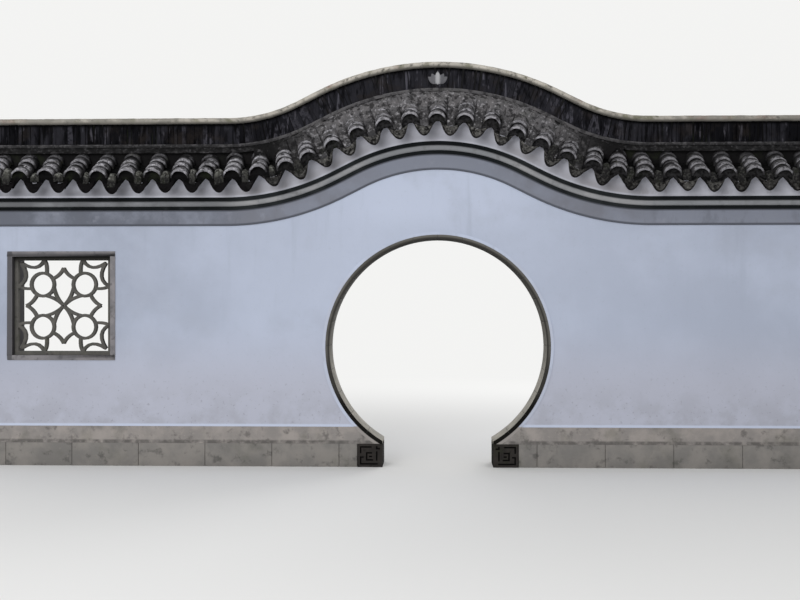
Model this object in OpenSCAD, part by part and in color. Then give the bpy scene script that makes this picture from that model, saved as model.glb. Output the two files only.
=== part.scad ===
// Garden wall with a round moon gate, a lattice window and a tiled coping that waves over the gate.
// Millimetres. X runs along the wall, Y through it, Z up. The front face looks towards -Y.
// The origin lies on the ground under the centre of the gate.

/* [Wall] */
// Length of the wall from end to end
wall_len = 10080; // [9200:20:10800]
// Thickness of the rendered wall
wall_t = 330; // [280:5:350]
// How far the middle bay with the gate reaches past the ends of the wave
bay_margin = 165; // [60:5:260]
// Height of the lower edge of the grey band over the level stretches
band_foot_z = 2415; // [2350:5:2600]

/* [Wave of the coping] */
// Radius of the band's lower edge over the gate
crest_r = 1630; // [1500:10:1750]
// Radius of the band's lower edge where the wave runs out
valley_r = 2670; // [2600:10:2800]
// Steepest slope of the wave in degrees
wave_angle = 26.6; // [22:0.2:27]
// Straight stretch between the two arcs
wave_run = 230; // [100:10:300]

/* [Gate ring] */
// Clear radius of the round opening
gate_r = 1085; // [1000:5:1120]
// Height over the foot stones at which the lining meets the edge of the passage
ring_toe = 31; // [10:1:45]
// Thickness of the stones that line the opening
ring_t = 41; // [34:1:48]
// How far the lining stands out of the wall on each face
ring_proud = 24; // [16:1:30]
// How far the face of the lining slopes back towards its outer edge
ring_slope = 13; // [6:1:15]
// Number of stones in the lining
ring_stones_n = 24; // [18:1:30]
// Open joint between neighbouring stones of the lining
ring_joint = 3; // [2:0.5:5]
// Width of the white plaster margin round the lining
margin_w = 30; // [20:1:45]
// How far the plaster margin stands out of the wall
margin_proud = 8; // [4:1:8]

/* [Foot stones and plinth] */
// Clear width of the passage between the foot stones
passage_w = 1104; // [1060:2:1130]
// Width of a foot stone
foot_w = 250; // [230:5:300]
// Height of the foot stones and of the plinth blocks beside them
foot_h = 232; // [215:1:260]
// How far a foot stone stands out of the wall on each face
foot_proud = 22; // [16:1:30]
// Width of a groove of the carved fret
fret_groove = 15; // [10:1:18]
// Depth of a groove of the carved fret
fret_depth = 9; // [5:1:12]
// Bare edge round the carved fret
fret_edge = 24; // [18:1:30]
// Height of the rendered course over the plinth blocks
plinth_cap_h = 168; // [140:2:190]
// How far the plinth stands out of the wall
plinth_proud = 12; // [9:1:15]
// Length of the narrow plinth block next to a foot stone
short_block = 180; // [140:5:240]
// Usual length of the other plinth blocks
plinth_block = 680; // [500:10:900]
// Open joint between plinth blocks
plinth_joint = 4; // [2:0.5:6]

/* [Lattice window] */
// Clear width and height of the square window
win_clear = 1000; // [940:5:1020]
// Distance of the window's centre from the centre of the gate
win_x = 3804; // [3720:2:3880]
// Height of the window's centre
win_z = 1612; // [1560:2:1660]
// Width of the stones that frame the window
win_frame = 50; // [40:1:60]
// How far the frame stands out of the wall on each face
frame_proud = 8; // [5:1:14]
// Depth of the lattice behind the front of the wall
lattice_back = 60; // [40:2:120]
// Thickness of the lattice
lattice_t = 50; // [36:1:70]
// Width of the lattice's outer border
lattice_border = 40; // [34:1:46]
// Width of the lattice's inner bars
lattice_bar = 30; // [26:1:34]
// Outer radius of the rings in the lattice
lattice_ring_r = 132; // [120:1:140]

/* [Bands under the coping] */
// Height of the grey band
band_h = 158; // [140:2:176]
// How far the grey band stands out of the wall
band_proud = 14; // [8:1:20]
// Height of the dark line under the light moulding
lower_line_h = 35; // [25:1:45]
// Height of the light moulding
moulding_h = 55; // [45:1:65]
// How far the light moulding stands out of the wall
moulding_proud = 24; // [16:1:32]
// Height of the dark line over the light moulding
upper_line_h = 38; // [28:1:48]
// How far the dark lines stand out of the wall
line_proud = 5; // [3:0.5:8]
// Height of the pale frieze under the eave
frieze_h = 197; // [180:1:220]
// How far the pale frieze stands out of the wall
frieze_proud = 4; // [2:0.5:8]

/* [Tiled roof of the coping] */
// Slope of the tiles in degrees
roof_slope = 32; // [29:0.5:34]
// How far the tiles' seat at the eave stands out of the wall
eave_out = 215; // [210:5:245]
// How far the tiles' seat at the eave lies under the top of the wall
eave_drop = 25; // [15:1:32]
// How far the mortar bed reaches out of the wall
bed_out = 72; // [60:1:80]
// Distance from one row of cover tiles to the next along the eave
tile_pitch = 265; // [252:1:300]
// Outer radius of a cover tile at its lower end
cover_r = 94; // [86:1:98]
// How much narrower a cover tile is where the next one laps over it
cover_step = 9; // [5:1:12]
// Thickness of a cover tile
cover_t = 17; // [12:1:22]
// Depth of the open mouth of the lowest cover tile
mouth_depth = 45; // [25:1:60]
// Number of lapped cover tiles in a row
cover_laps = 4; // [3:1:6]
// Width of the trough of a pan tile
pan_w = 170; // [160:1:176]
// Depth of the trough of a pan tile
pan_dip = 32; // [26:1:36]
// Thickness of a pan tile
pan_t = 14; // [10:1:16]
// Width of a drip at the eave
drip_w = 188; // [172:1:198]
// Height of the rounded point of a drip
drip_point = 128; // [100:1:140]
// Thickness of a drip
drip_t = 14; // [10:1:20]

/* [Ridge] */
// Thickness of the mortar wall under the ridge
ridge_t = 120; // [110:1:130]
// Height from the eave's tile seat to the foot of the standing tiles
ridge_rise = 377; // [372:1:400]
// Height of the band of standing tiles
tile_band_h = 207; // [180:1:230]
// Thickness of the band of standing tiles
tile_band_t = 110; // [90:1:118]
// Height of the rounded mortar cap
cap_h = 72; // [60:1:90]
// Width of the rounded mortar cap
cap_w = 156; // [130:1:170]
// How far the fillet under the ridge reaches over the tiles
fillet_out = 58; // [50:1:65]
// Height of the ledge at the foot of the standing tiles
ledge_h = 33; // [24:1:38]
// How far that ledge stands out of the ridge
ledge_out = 24; // [16:1:32]
// Width of the carved bud on the ridge
bud_w = 200; // [160:2:240]
// Height of the carved bud on the ridge
bud_h = 140; // [110:1:150]
// Depth of the carved bud on the ridge
bud_t = 18; // [10:1:26]

/* [Hidden] */

$fn = 96;
// Facets of the arcs round the gate where OpenSCAD shows them
ring_facets = 144;
// Small clearance between pieces with curved or folded seats
seat_gap = 0.4;
// Room that a straight tile needs under its neighbours where the eave bends
bend_room = 3;
// Reach of a cutting block past what it cuts
over = 60;
// Steps in one arc of the wave
arc_steps = 13;
// Width of the mortar between neighbouring pan tiles
pan_gap = 20;
// Distance of that mortar behind the eave
mortar_back = 190;
// How much a fillet stands clear of the tiles, the height of its lip and its width under the ledge
fillet_clear = 6;
fillet_lip = 8;
fillet_neck = 8;
// How straight the sides of a drip run, from 1 for a blunt point
drip_taper = 1.1;
// Steps of the grid that the carved fret is drawn on
fret_steps = 8;

half_len = wall_len / 2;
face_y = wall_t / 2;
plinth_h = foot_h + plinth_cap_h;
ring_r = gate_r + ring_t;
gate_z = foot_h + ring_toe + sqrt(gate_r * gate_r - passage_w * passage_w / 4);

// The wave, from the crest to one end, as [x, height, lean] of the band's lower edge
crest_drop = crest_r * (1 - cos(wave_angle));
run_drop = wave_run * sin(wave_angle);
rise = crest_drop + run_drop + valley_r * (1 - cos(wave_angle));
valley_x = crest_r * sin(wave_angle) + wave_run * cos(wave_angle) + valley_r * sin(wave_angle);
bay_edge = valley_x + bay_margin;
crest_z = band_foot_z + rise;
function lean(i) = wave_angle * i / arc_steps;
right_half = concat(
    [for (i = [0:arc_steps]) [crest_r * sin(lean(i)), crest_z - crest_r * (1 - cos(lean(i))), lean(i)]],
    [for (i = [arc_steps:-1:0])
        [valley_x - valley_r * sin(lean(i)), band_foot_z + valley_r * (1 - cos(lean(i))), lean(i)]],
    [[half_len, band_foot_z, 0]]
);
last = len(right_half) - 1;
stations = concat(
    [for (i = [last:-1:1]) [-right_half[i][0], right_half[i][1], -right_half[i][2]]],
    right_half
);
// A point over the wave's line, n above it and square to it
function over_line(s, n) = [s[0] + n * sin(s[2]), s[1] + n * cos(s[2])];

// The wave's line at a distance along the eave from the crest
eave_n = band_h + lower_line_h + moulding_h + upper_line_h + frieze_h - eave_drop;
eave_crest = (crest_r + eave_n) * wave_angle * PI / 180;
eave_valley = (valley_r - eave_n) * wave_angle * PI / 180;
function lean_at(s) =
    s < eave_crest ? s / (crest_r + eave_n) * 180 / PI
    : s < eave_crest + wave_run ? wave_angle
    : s < eave_crest + wave_run + eave_valley
        ? (eave_crest + wave_run + eave_valley - s) / (valley_r - eave_n) * 180 / PI
    : 0;
function line_at(s) =
    s < eave_crest ? [crest_r * sin(lean_at(s)), crest_z - crest_r * (1 - cos(lean_at(s)))]
    : s < eave_crest + wave_run
        ? [crest_r * sin(wave_angle) + (s - eave_crest) * cos(wave_angle),
           crest_z - crest_drop - (s - eave_crest) * sin(wave_angle)]
    : s < eave_crest + wave_run + eave_valley
        ? [valley_x - valley_r * sin(lean_at(s)), band_foot_z + valley_r * (1 - cos(lean_at(s)))]
    : [valley_x + s - eave_crest - wave_run - eave_valley, band_foot_z];
eave_len = eave_crest + wave_run + eave_valley + half_len - valley_x;
// The last row of cover tiles is flush with the end of the wall
rows = round((eave_len - cover_r) / tile_pitch);
row_pitch = (eave_len - cover_r) / rows;

// Levels over the wave's line
lower_line_n = band_h;
moulding_n = lower_line_n + lower_line_h;
upper_line_n = moulding_n + moulding_h;
frieze_n = upper_line_n + upper_line_h;
soffit_n = frieze_n + frieze_h;
eave_y = face_y + eave_out;
bed_y = face_y + bed_out;
ridge_y = ridge_t / 2;
bed_drop = (pan_dip + pan_t + bend_room + seat_gap) / cos(roof_slope);
function seat_n(y) = eave_n + (eave_y - y) * tan(roof_slope);
bed_top_n = seat_n(ridge_y) - bed_drop;
tile_band_n = eave_n + ridge_rise;
cap_n = tile_band_n + tile_band_h;
row_len = (eave_y - ridge_y) / cos(roof_slope) + over;

// A closed band between two heights over the wave's line, from y0 to y1 through the wall
module strip(n0, n1, y0, y1) {
    lower = [for (s = stations) over_line(s, n0)];
    upper = [for (i = [len(stations) - 1:-1:0]) over_line(stations[i], n1)];
    translate([0, y1, 0])
        rotate([90, 0, 0])
            linear_extrude(height = y1 - y0)
                polygon(concat(lower, upper));
}

// A section of [y, height] points swept along the whole wave
module sweep(section) {
    m = len(section);
    k = len(stations);
    points = [
        for (s = stations)
            for (p = section) let (q = over_line(s, p[1])) [q[0], p[0], q[1]]
    ];
    sides = [
        for (i = [0:k - 2])
            for (j = [0:m - 1])
                [i * m + j, i * m + (j + 1) % m, (i + 1) * m + (j + 1) % m, (i + 1) * m + j]
    ];
    near_end = [for (j = [m - 1:-1:0]) j];
    far_end = [for (j = [0:m - 1]) (k - 1) * m + j];
    polyhedron(points = points, faces = concat(sides, [near_end, far_end]));
}

// Puts its children where a row of tiles meets the eave, square to the wave
module at_eave(s) {
    p = line_at(abs(s));
    side = s < 0 ? -1 : 1;
    translate([side * p[0], 0, p[1]])
        rotate([0, side * lean_at(abs(s)), 0])
            children();
}

// Copies its children to the back face
module back() {
    mirror([0, 1, 0])
        children();
}

// Right side of the middle bay below the centre of the gate
module gate_pier() {
    difference() {
        translate([0, -face_y, plinth_h])
            cube([bay_edge, wall_t, gate_z - plinth_h]);
        gate_hole(ring_r + seat_gap, wall_t + over);
    }
}

// Right side of the middle bay over the centre of the gate, up to the wave
module gate_haunch() {
    crown = [for (s = right_half) if (s[0] < half_len) over_line(s, soffit_n)];
    top = band_foot_z + soffit_n;
    difference() {
        translate([0, face_y, 0])
            rotate([90, 0, 0])
                linear_extrude(height = wall_t)
                    polygon(concat([[0, gate_z]], crown, [[bay_edge, top], [bay_edge, gate_z]]));
        gate_hole(ring_r + seat_gap, wall_t + over);
    }
}

module right_gate_pier() {
    color("#c3c6d4")
        gate_pier();
}

module left_gate_pier() {
    color("#c3c6d4")
        mirror([1, 0, 0])
            gate_pier();
}

module right_gate_haunch() {
    color("#c3c6d4")
        gate_haunch();
}

module left_gate_haunch() {
    color("#c3c6d4")
        mirror([1, 0, 0])
            gate_haunch();
}

// A round hole through the wall at the gate
module gate_hole(r, depth) {
    translate([0, 0, gate_z])
        rotate([90, 0, 0])
            cylinder(r = r, h = depth, center = true);
}

// A level stretch of wall between two distances from the gate
module bay_block(x0, x1) {
    translate([x0, -face_y, plinth_h])
        cube([x1 - x0, wall_t, band_foot_z + soffit_n - plinth_h]);
}

module left_bay_wall() {
    hole = win_clear + 2 * win_frame;
    color("#c3c6d4")
        difference() {
            bay_block(-half_len, -bay_edge);
            translate([-win_x, 0, win_z])
                cube([hole, wall_t + over, hole], center = true);
        }
}

module right_bay_wall() {
    color("#c3c6d4")
        bay_block(bay_edge, half_len);
}

// Plinth blocks of one side, from the foot stone to the end of the wall
module plinth_blocks() {
    start = passage_w / 2 + foot_w + plinth_joint;
    first = start + short_block + plinth_joint;
    count = max(1, round((half_len - first) / plinth_block));
    block_len = (half_len - first - (count - 1) * plinth_joint) / count;
    depth = wall_t + 2 * plinth_proud;
    translate([start, -depth / 2, 0])
        cube([short_block, depth, foot_h]);
    for (i = [0:count - 1])
        translate([first + i * (block_len + plinth_joint), -depth / 2, 0])
            cube([block_len, depth, foot_h]);
}

module right_plinth() {
    color("#6f7069")
        plinth_blocks();
}

module left_plinth() {
    color("#6f7069")
        mirror([1, 0, 0])
            plinth_blocks();
}

// The rendered course over the plinth blocks, cut round by the gate
module plinth_course() {
    depth = wall_t + 2 * plinth_proud;
    difference() {
        translate([passage_w / 2, -depth / 2, foot_h])
            cube([half_len - passage_w / 2, depth, plinth_cap_h]);
        gate_hole(ring_r + seat_gap, depth + over);
        for (side = [-1, 1])
            translate([0, side * (face_y + over / 2), 0])
                gate_hole(ring_r + margin_w + seat_gap, over);
    }
}

module right_plinth_cap() {
    color("#8d877f")
        plinth_course();
}

module left_plinth_cap() {
    color("#8d877f")
        mirror([1, 0, 0])
            plinth_course();
}

// Strokes of the square fret as [x0, z0, x1, z1] on its grid
fret = [
    [0, 8, 4.4, 8], [0, 5.4, 0, 8],
    [0, 0, 7, 0], [0, 0, 0, 3.2], [0, 3.2, 1, 3.2],
    [2.6, 1.9, 2.6, 5.2], [2.6, 5.2, 4.6, 5.2], [2.6, 1.9, 5, 1.9], [3.9, 3.5, 4.6, 3.5],
    [6.9, 1.9, 6.9, 5.6], [6.9, 7.2, 8, 7.2], [6.9, 7.2, 6.9, 8]
];

// Foot stone of the right side with the fret cut into both faces
module foot_block() {
    depth = wall_t + 2 * foot_proud;
    step_x = (foot_w - 2 * fret_edge - fret_groove) / fret_steps;
    step_z = (foot_h - 2 * fret_edge - fret_groove) / fret_steps;
    difference() {
        translate([passage_w / 2, -depth / 2, 0])
            cube([foot_w, depth, foot_h]);
        for (side = [-1, 1])
            for (g = fret)
                translate([
                    passage_w / 2 + foot_w - fret_edge - fret_groove - g[2] * step_x,
                    side * depth / 2 - fret_depth,
                    fret_edge + g[1] * step_z
                ])
                    cube([
                        (g[2] - g[0]) * step_x + fret_groove,
                        2 * fret_depth,
                        (g[3] - g[1]) * step_z + fret_groove
                    ]);
    }
}

module right_foot_stone() {
    color("#4a4a44")
        foot_block();
}

module left_foot_stone() {
    color("#4a4a44")
        mirror([1, 0, 0])
            foot_block();
}

// Half of the angle that is left open at the bottom of the ring
foot_drop = gate_z - foot_h;
open_angle = asin(sqrt(gate_r * gate_r - foot_drop * foot_drop) / gate_r);

// A section of [radius, depth] points turned round the gate between two angles from straight down
module arc_piece(section, from, to) {
    translate([0, 0, gate_z])
        rotate([90, 0, 0])
            rotate([0, 0, from - 90])
                rotate_extrude(angle = to - from, $fn = ring_facets)
                    polygon([for (p = section) [p[0], -p[1]]]);
}

// What the passage and the foot stones take away from a piece round the gate
module passage_block() {
    reach = wall_t + 4 * foot_proud;
    translate([-passage_w / 2, -reach / 2, -over])
        cube([passage_w, reach, gate_z - gate_r / 2]);
    translate([-ring_r, -reach / 2, -over])
        cube([2 * ring_r, reach, foot_h + over]);
}

module ring_lining() {
    y = face_y + ring_proud;
    edge = y - ring_slope;
    section = [[gate_r, -y], [ring_r, -edge], [ring_r, edge], [gate_r, y]];
    whole = 360 - 2 * open_angle;
    joint = ring_joint / gate_r * 180 / PI;
    stone = (whole + joint) / ring_stones_n;
    color("#55554f")
        for (i = [0:ring_stones_n - 1])
            if (i == 0 || i == ring_stones_n - 1)
                difference() {
                    arc_piece(section, open_angle + i * stone, open_angle + (i + 1) * stone - joint);
                    passage_block();
                }
            else
                arc_piece(section, open_angle + i * stone, open_angle + (i + 1) * stone - joint);
}

// White plaster margin on the front face
module margin() {
    near = ring_r + seat_gap;
    far = ring_r + margin_w;
    y = -face_y - margin_proud;
    difference() {
        arc_piece([[near, y], [far, y], [far, -face_y], [near, -face_y]], open_angle, 360 - open_angle);
        passage_block();
    }
}

module front_ring_margin() {
    color("#d9dae2")
        margin();
}

module back_ring_margin() {
    color("#d9dae2")
        back()
            margin();
}

// Level stone of the window's frame
module window_rail(side) {
    depth = wall_t + 2 * frame_proud;
    translate([-win_x, 0, win_z + side * (win_clear + win_frame) / 2])
        cube([win_clear + 2 * win_frame, depth, win_frame], center = true);
}

module window_lintel() {
    color("#7d7a78")
        window_rail(1);
}

module window_sill() {
    color("#7d7a78")
        window_rail(-1);
}

module window_jambs() {
    color("#7d7a78")
        for (side = [-1, 1])
            translate([-win_x + side * (win_clear + win_frame) / 2, 0, win_z])
                cube([win_frame, wall_t + 2 * frame_proud, win_clear], center = true);
}

// A bar of the lattice along a curve from a to c that bends towards b
function bend(a, b, c, t) = a * pow(1 - t, 2) + b * 2 * t * (1 - t) + c * t * t;
module curved_bar(a, b, c) {
    steps = 6;
    path = [for (i = [0:steps]) bend(a, b, c, i / steps)];
    way = [for (i = [0:steps]) let (d = path[min(i + 1, steps)] - path[max(i - 1, 0)]) d / norm(d)];
    side = [for (w = way) [-w[1], w[0]] * lattice_bar / 2];
    linear_extrude(height = lattice_t)
        polygon(concat(
            [for (i = [0:steps]) path[i] + side[i]],
            [for (i = [steps:-1:0]) path[i] - side[i]]
        ));
}

// A flat-sided ring of the lattice
module flat_ring(r) {
    sides = 24;
    outer = [for (i = [0:sides - 1]) r * [cos(360 * i / sides), sin(360 * i / sides)]];
    inner = outer * ((r - lattice_bar) / r);
    linear_extrude(height = lattice_t)
        polygon(
            points = concat(outer, inner),
            paths = [[for (i = [0:sides - 1]) i], [for (i = [0:sides - 1]) sides + i]]
        );
}

// Parts of the lattice's inner half width: middles of the rings, then the bends of its curves
ring_at = 0.465;
peak = [0, 0.83];
peak_bend = [-0.063, 0.675];
petal_bend = [-0.167, 0.157];
petal_tip = [-0.01, 0.01];
scroll_tip = [-1, 0.432];
scroll_bend = [-0.713, 0.589];
scroll_corner = [-0.942, 0.942];
branch_bend = [-0.919, 0.36];
// Angles at which the curves meet a ring
peak_turn = 30;
petal_turn = -15;
branch_turn = 200;
lattice_edge = win_clear / 2 - lattice_border + 2;
function on_ring(turn) =
    lattice_edge * [-ring_at, ring_at] + (lattice_ring_r - lattice_bar / 2) * [cos(turn), sin(turn)];

// Half of a quarter of the lattice: peak, petal of the middle flower and a scroll at the border
module lattice_curves() {
    curved_bar(lattice_edge * peak, lattice_edge * peak_bend, on_ring(peak_turn));
    curved_bar(on_ring(petal_turn), lattice_edge * petal_bend, lattice_edge * petal_tip);
    curved_bar(lattice_edge * scroll_tip, lattice_edge * scroll_bend, lattice_edge * scroll_corner);
    curved_bar(lattice_edge * scroll_tip, lattice_edge * branch_bend, on_ring(branch_turn));
}

module window_lattice() {
    outer = win_clear - 2 * seat_gap;
    inner = win_clear - 2 * lattice_border;
    color("#6d6f62")
        translate([-win_x, -face_y + lattice_back + lattice_t, win_z])
            rotate([90, 0, 0])
                union() {
                    linear_extrude(height = lattice_t)
                        difference() {
                            square(outer, center = true);
                            square(inner, center = true);
                        }
                    for (turn = [0:90:270])
                        rotate(turn) {
                            translate(lattice_edge * [-ring_at, ring_at])
                                flat_ring(lattice_ring_r);
                            lattice_curves();
                            mirror([1, 1])
                                lattice_curves();
                        }
                }
}

module front_grey_band() {
    color("#7f828c")
        strip(0, band_h, -face_y - band_proud, -face_y);
}

module back_grey_band() {
    color("#7f828c")
        strip(0, band_h, face_y, face_y + band_proud);
}

// The two dark lines on the front face
module dark_lines() {
    strip(lower_line_n, moulding_n, -face_y - line_proud, -face_y);
    strip(upper_line_n, frieze_n, -face_y - line_proud, -face_y);
}

module front_dark_lines() {
    color("#1c1c1f")
        dark_lines();
}

module back_dark_lines() {
    color("#1c1c1f")
        back()
            dark_lines();
}

// Rounded light moulding on the front face
module moulding() {
    mid = moulding_n + moulding_h / 2;
    steps = 6;
    sweep(concat(
        [for (i = [0:steps]) let (a = -90 + 180 * i / steps)
            [-face_y - moulding_proud / 3 - cos(a) * moulding_proud * 2 / 3, mid + sin(a) * moulding_h / 2]],
        [[-face_y, moulding_n + moulding_h], [-face_y, moulding_n]]
    ));
}

module front_moulding() {
    color("#8e8f90")
        moulding();
}

module back_moulding() {
    color("#8e8f90")
        back()
            moulding();
}

module front_frieze() {
    color("#9a9ca4")
        strip(frieze_n, soffit_n, -face_y - frieze_proud, -face_y);
}

module back_frieze() {
    color("#9a9ca4")
        strip(frieze_n, soffit_n, face_y, face_y + frieze_proud);
}

module roof_bed() {
    edge_n = seat_n(bed_y) - bed_drop;
    color("#77726c")
        sweep([
            [bed_y, soffit_n], [-bed_y, soffit_n], [-bed_y, edge_n], [-ridge_y, bed_top_n],
            [ridge_y, bed_top_n], [bed_y, edge_n]
        ]);
}

// Turns its children so that Z runs down the front slope and Y stands square on the tiles
module on_slope() {
    translate([0, -eave_y, eave_n])
        rotate([90 + roof_slope, 0, 0])
            children();
}

// One row of lapped cover tiles on its mortar, open at the eave and cut off at the ridge wall
module cover_row() {
    step = row_len / cover_laps;
    saw = [
        for (i = [0:cover_laps - 1])
            for (p = [[cover_r - cover_step, i * step], [cover_r, (i + 1) * step]])
                [p[0], p[1] - row_len]
    ];
    mortar = pan_dip + pan_t + bend_room;
    difference() {
        on_slope()
            union() {
                rotate_extrude(angle = 180)
                    polygon(concat(
                        [[0, -row_len]], saw,
                        [[cover_r - cover_t, 0], [cover_r - cover_t, -mouth_depth], [0, -mouth_depth]]
                    ));
                translate([-pan_gap / 2, -mortar, -row_len])
                    cube([pan_gap, mortar, row_len - mortar_back]);
            }
        ridge_block();
    }
}

// What the ridge wall takes away from a row of tiles on the front slope
module ridge_block() {
    translate([-2 * cover_r, -ridge_y - seat_gap, 0])
        cube([4 * cover_r, eave_y, 2 * tile_band_n]);
}

// Rows of cover tiles on the front slope
module cover_rows() {
    for (i = [-rows:rows])
        at_eave(i * row_pitch)
            cover_row();
}

module front_cover_tiles() {
    color("#77746c")
        cover_rows();
}

module back_cover_tiles() {
    color("#77746c")
        back()
            cover_rows();
}

// Section of a pan tile, an arc with its lips level with Y = 0
module pan_section() {
    r = (pan_w * pan_w / 4 + pan_dip * pan_dip) / (2 * pan_dip);
    centre = r - pan_dip;
    intersection() {
        translate([0, centre])
            difference() {
                circle(r = r + pan_t);
                circle(r = r);
            }
        translate([-pan_w, -2 * (pan_dip + pan_t)])
            square([2 * pan_w, 2 * (pan_dip + pan_t)]);
    }
}

// Outline of a rounded, pointed drip as [x, height] over the wave's line
drip_top = seat_n(eave_y + drip_t) - (bend_room + pan_t / 2) / cos(roof_slope);
drip_tip = drip_top - drip_point;
module drip_outline() {
    steps = 7;
    dip = pan_dip / cos(roof_slope) - bend_room;
    side = [
        for (i = [1:steps])
            [drip_w / 2 * pow(i / steps, drip_taper), drip_tip + drip_point * pow(i / steps, 2)]
    ];
    left = [for (p = side) [-p[0], p[1]]];
    top = [for (i = [1 - steps:steps]) [drip_w / 2 * i / steps, drip_top - dip * (1 - pow(i / steps, 2))]];
    polygon(concat([[0, drip_tip]], left, top, [for (i = [steps - 1:-1:1]) side[i - 1]]));
}

// One row of pan tiles that ends in a drip at the eave
module pan_row() {
    union() {
        intersection() {
            on_slope()
                translate([0, -bend_room, -row_len])
                    linear_extrude(height = row_len + over)
                        pan_section();
            translate([-pan_w, -eave_y - drip_t / 2, 0])
                cube([2 * pan_w, eave_y + drip_t / 2 - ridge_y - seat_gap, 2 * tile_band_n]);
        }
        translate([0, -eave_y, 0])
            rotate([90, 0, 0])
                linear_extrude(height = drip_t)
                    drip_outline();
    }
}

// Rows of pan tiles on the front slope
module pan_rows() {
    for (i = [-rows:rows - 1])
        at_eave((i + 0.5) * row_pitch)
            pan_row();
}

module front_pan_tiles() {
    color("#55534d")
        pan_rows();
}

module back_pan_tiles() {
    color("#55534d")
        back()
            pan_rows();
}

module ridge_base() {
    color("#6a665f")
        strip(bed_top_n, tile_band_n, -ridge_y, ridge_y);
}

// Mortar fillet over the upper ends of the tiles on the front slope, with a ledge along its top
module fillet() {
    out = ridge_y + fillet_out;
    neck = ridge_y + fillet_neck;
    ledge = ridge_y + ledge_out;
    crown = cover_r / cos(roof_slope) + fillet_clear;
    sweep([
        [-ridge_y, tile_band_n], [-ridge_y, seat_n(ridge_y) + crown], [-out, seat_n(out) + crown],
        [-out, seat_n(out) + crown + fillet_lip], [-neck, tile_band_n - ledge_h],
        [-ledge, tile_band_n - ledge_h], [-ledge, tile_band_n]
    ]);
}

module front_ridge_fillet() {
    color("#77726a")
        fillet();
}

module back_ridge_fillet() {
    color("#77726a")
        back()
            fillet();
}

module ridge_tile_band() {
    color("#2b2a2e")
        strip(tile_band_n, cap_n, -tile_band_t / 2, tile_band_t / 2);
}

module ridge_cap() {
    steps = 10;
    color("#8d877e")
        sweep([for (i = [0:steps]) let (a = 180 * i / steps) [cap_w / 2 * cos(a), cap_n + cap_h * sin(a)]]);
}

// A pointed petal of a given length and width, standing on its lower tip
module petal(length, width, depth) {
    r = (length * length / 4 + width * width / 4) / width;
    translate([0, 0, length / 2])
        rotate([90, 0, 0])
            linear_extrude(height = depth)
                intersection() {
                    translate([r - width / 2, 0])
                        circle(r = r);
                    translate([width / 2 - r, 0])
                        circle(r = r);
                }
}

// Petals of the carved bud as [side, foot height, lean, length, width, depth], in parts of the bud
petals = [
    [0, 0, 0, 1, 0.34, 1],
    [0.02, 0.05, 28, 0.86, 0.26, 0.8],
    [0, 0.1, 54, 0.88, 0.2, 0.6]
];

// Carved bud with two petals on each side, on the front of the standing tiles
module bud() {
    foot = crest_z + tile_band_n + (tile_band_h - bud_h) / 2;
    translate([0, -tile_band_t / 2, foot])
        union()
            for (side = [-1, 1])
                for (p = petals)
                    translate([side * p[0] * bud_w, 0, p[1] * bud_h])
                        rotate([0, side * p[2], 0])
                            petal(p[3] * bud_h, p[4] * bud_w, p[5] * bud_t);
}

module front_ridge_bud() {
    color("#c9c9c6")
        bud();
}

module back_ridge_bud() {
    color("#c9c9c6")
        back()
            bud();
}

left_bay_wall();
right_bay_wall();
left_gate_pier();
right_gate_pier();
left_gate_haunch();
right_gate_haunch();
left_plinth();
right_plinth();
left_plinth_cap();
right_plinth_cap();
left_foot_stone();
right_foot_stone();
ring_lining();
front_ring_margin();
back_ring_margin();
window_lintel();
window_sill();
window_jambs();
window_lattice();
front_grey_band();
back_grey_band();
front_dark_lines();
back_dark_lines();
front_moulding();
back_moulding();
front_frieze();
back_frieze();
roof_bed();
front_cover_tiles();
back_cover_tiles();
front_pan_tiles();
back_pan_tiles();
ridge_base();
front_ridge_fillet();
back_ridge_fillet();
ridge_tile_band();
ridge_cap();
front_ridge_bud();
back_ridge_bud();
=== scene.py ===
"""Garden wall with a round moon gate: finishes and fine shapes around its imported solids.

Metres. X runs along the wall, Y through it, Z up, and the front face looks towards -Y.
"""
from math import acos, asin, atan2, cos, exp, hypot, pi, radians, sin, sqrt, tan

import bmesh
import bpy
import numpy
from bpy.props import FloatProperty, FloatVectorProperty, IntProperty, PointerProperty
from mathutils import Matrix, Vector, noise


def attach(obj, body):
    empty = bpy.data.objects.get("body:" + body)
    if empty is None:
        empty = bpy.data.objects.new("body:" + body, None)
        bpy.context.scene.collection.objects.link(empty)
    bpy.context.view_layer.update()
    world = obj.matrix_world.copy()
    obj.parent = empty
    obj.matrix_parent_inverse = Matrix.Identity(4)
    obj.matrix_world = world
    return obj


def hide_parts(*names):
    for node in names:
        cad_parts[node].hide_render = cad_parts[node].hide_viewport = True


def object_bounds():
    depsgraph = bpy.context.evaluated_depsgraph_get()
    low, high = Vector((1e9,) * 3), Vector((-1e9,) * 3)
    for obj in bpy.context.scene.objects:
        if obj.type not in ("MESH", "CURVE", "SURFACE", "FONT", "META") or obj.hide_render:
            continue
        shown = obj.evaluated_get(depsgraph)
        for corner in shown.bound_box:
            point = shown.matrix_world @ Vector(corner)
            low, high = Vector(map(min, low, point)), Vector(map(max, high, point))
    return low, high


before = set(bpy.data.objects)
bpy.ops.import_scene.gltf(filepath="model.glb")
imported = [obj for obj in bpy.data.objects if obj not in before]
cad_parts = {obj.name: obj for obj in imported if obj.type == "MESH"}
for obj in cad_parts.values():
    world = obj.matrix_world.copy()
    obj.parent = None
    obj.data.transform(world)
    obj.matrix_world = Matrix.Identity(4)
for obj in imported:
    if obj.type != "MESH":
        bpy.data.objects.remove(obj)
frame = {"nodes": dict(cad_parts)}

bl_info = {
    "name": "Moon gate wall",
    "version": (1, 0, 0),
    "blender": (4, 5, 0),
    "location": "3D View > Sidebar > Moon gate",
    "description": "Dresses a tiled garden wall with a round gate and a lattice window",
    "category": "Object",
}

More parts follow.
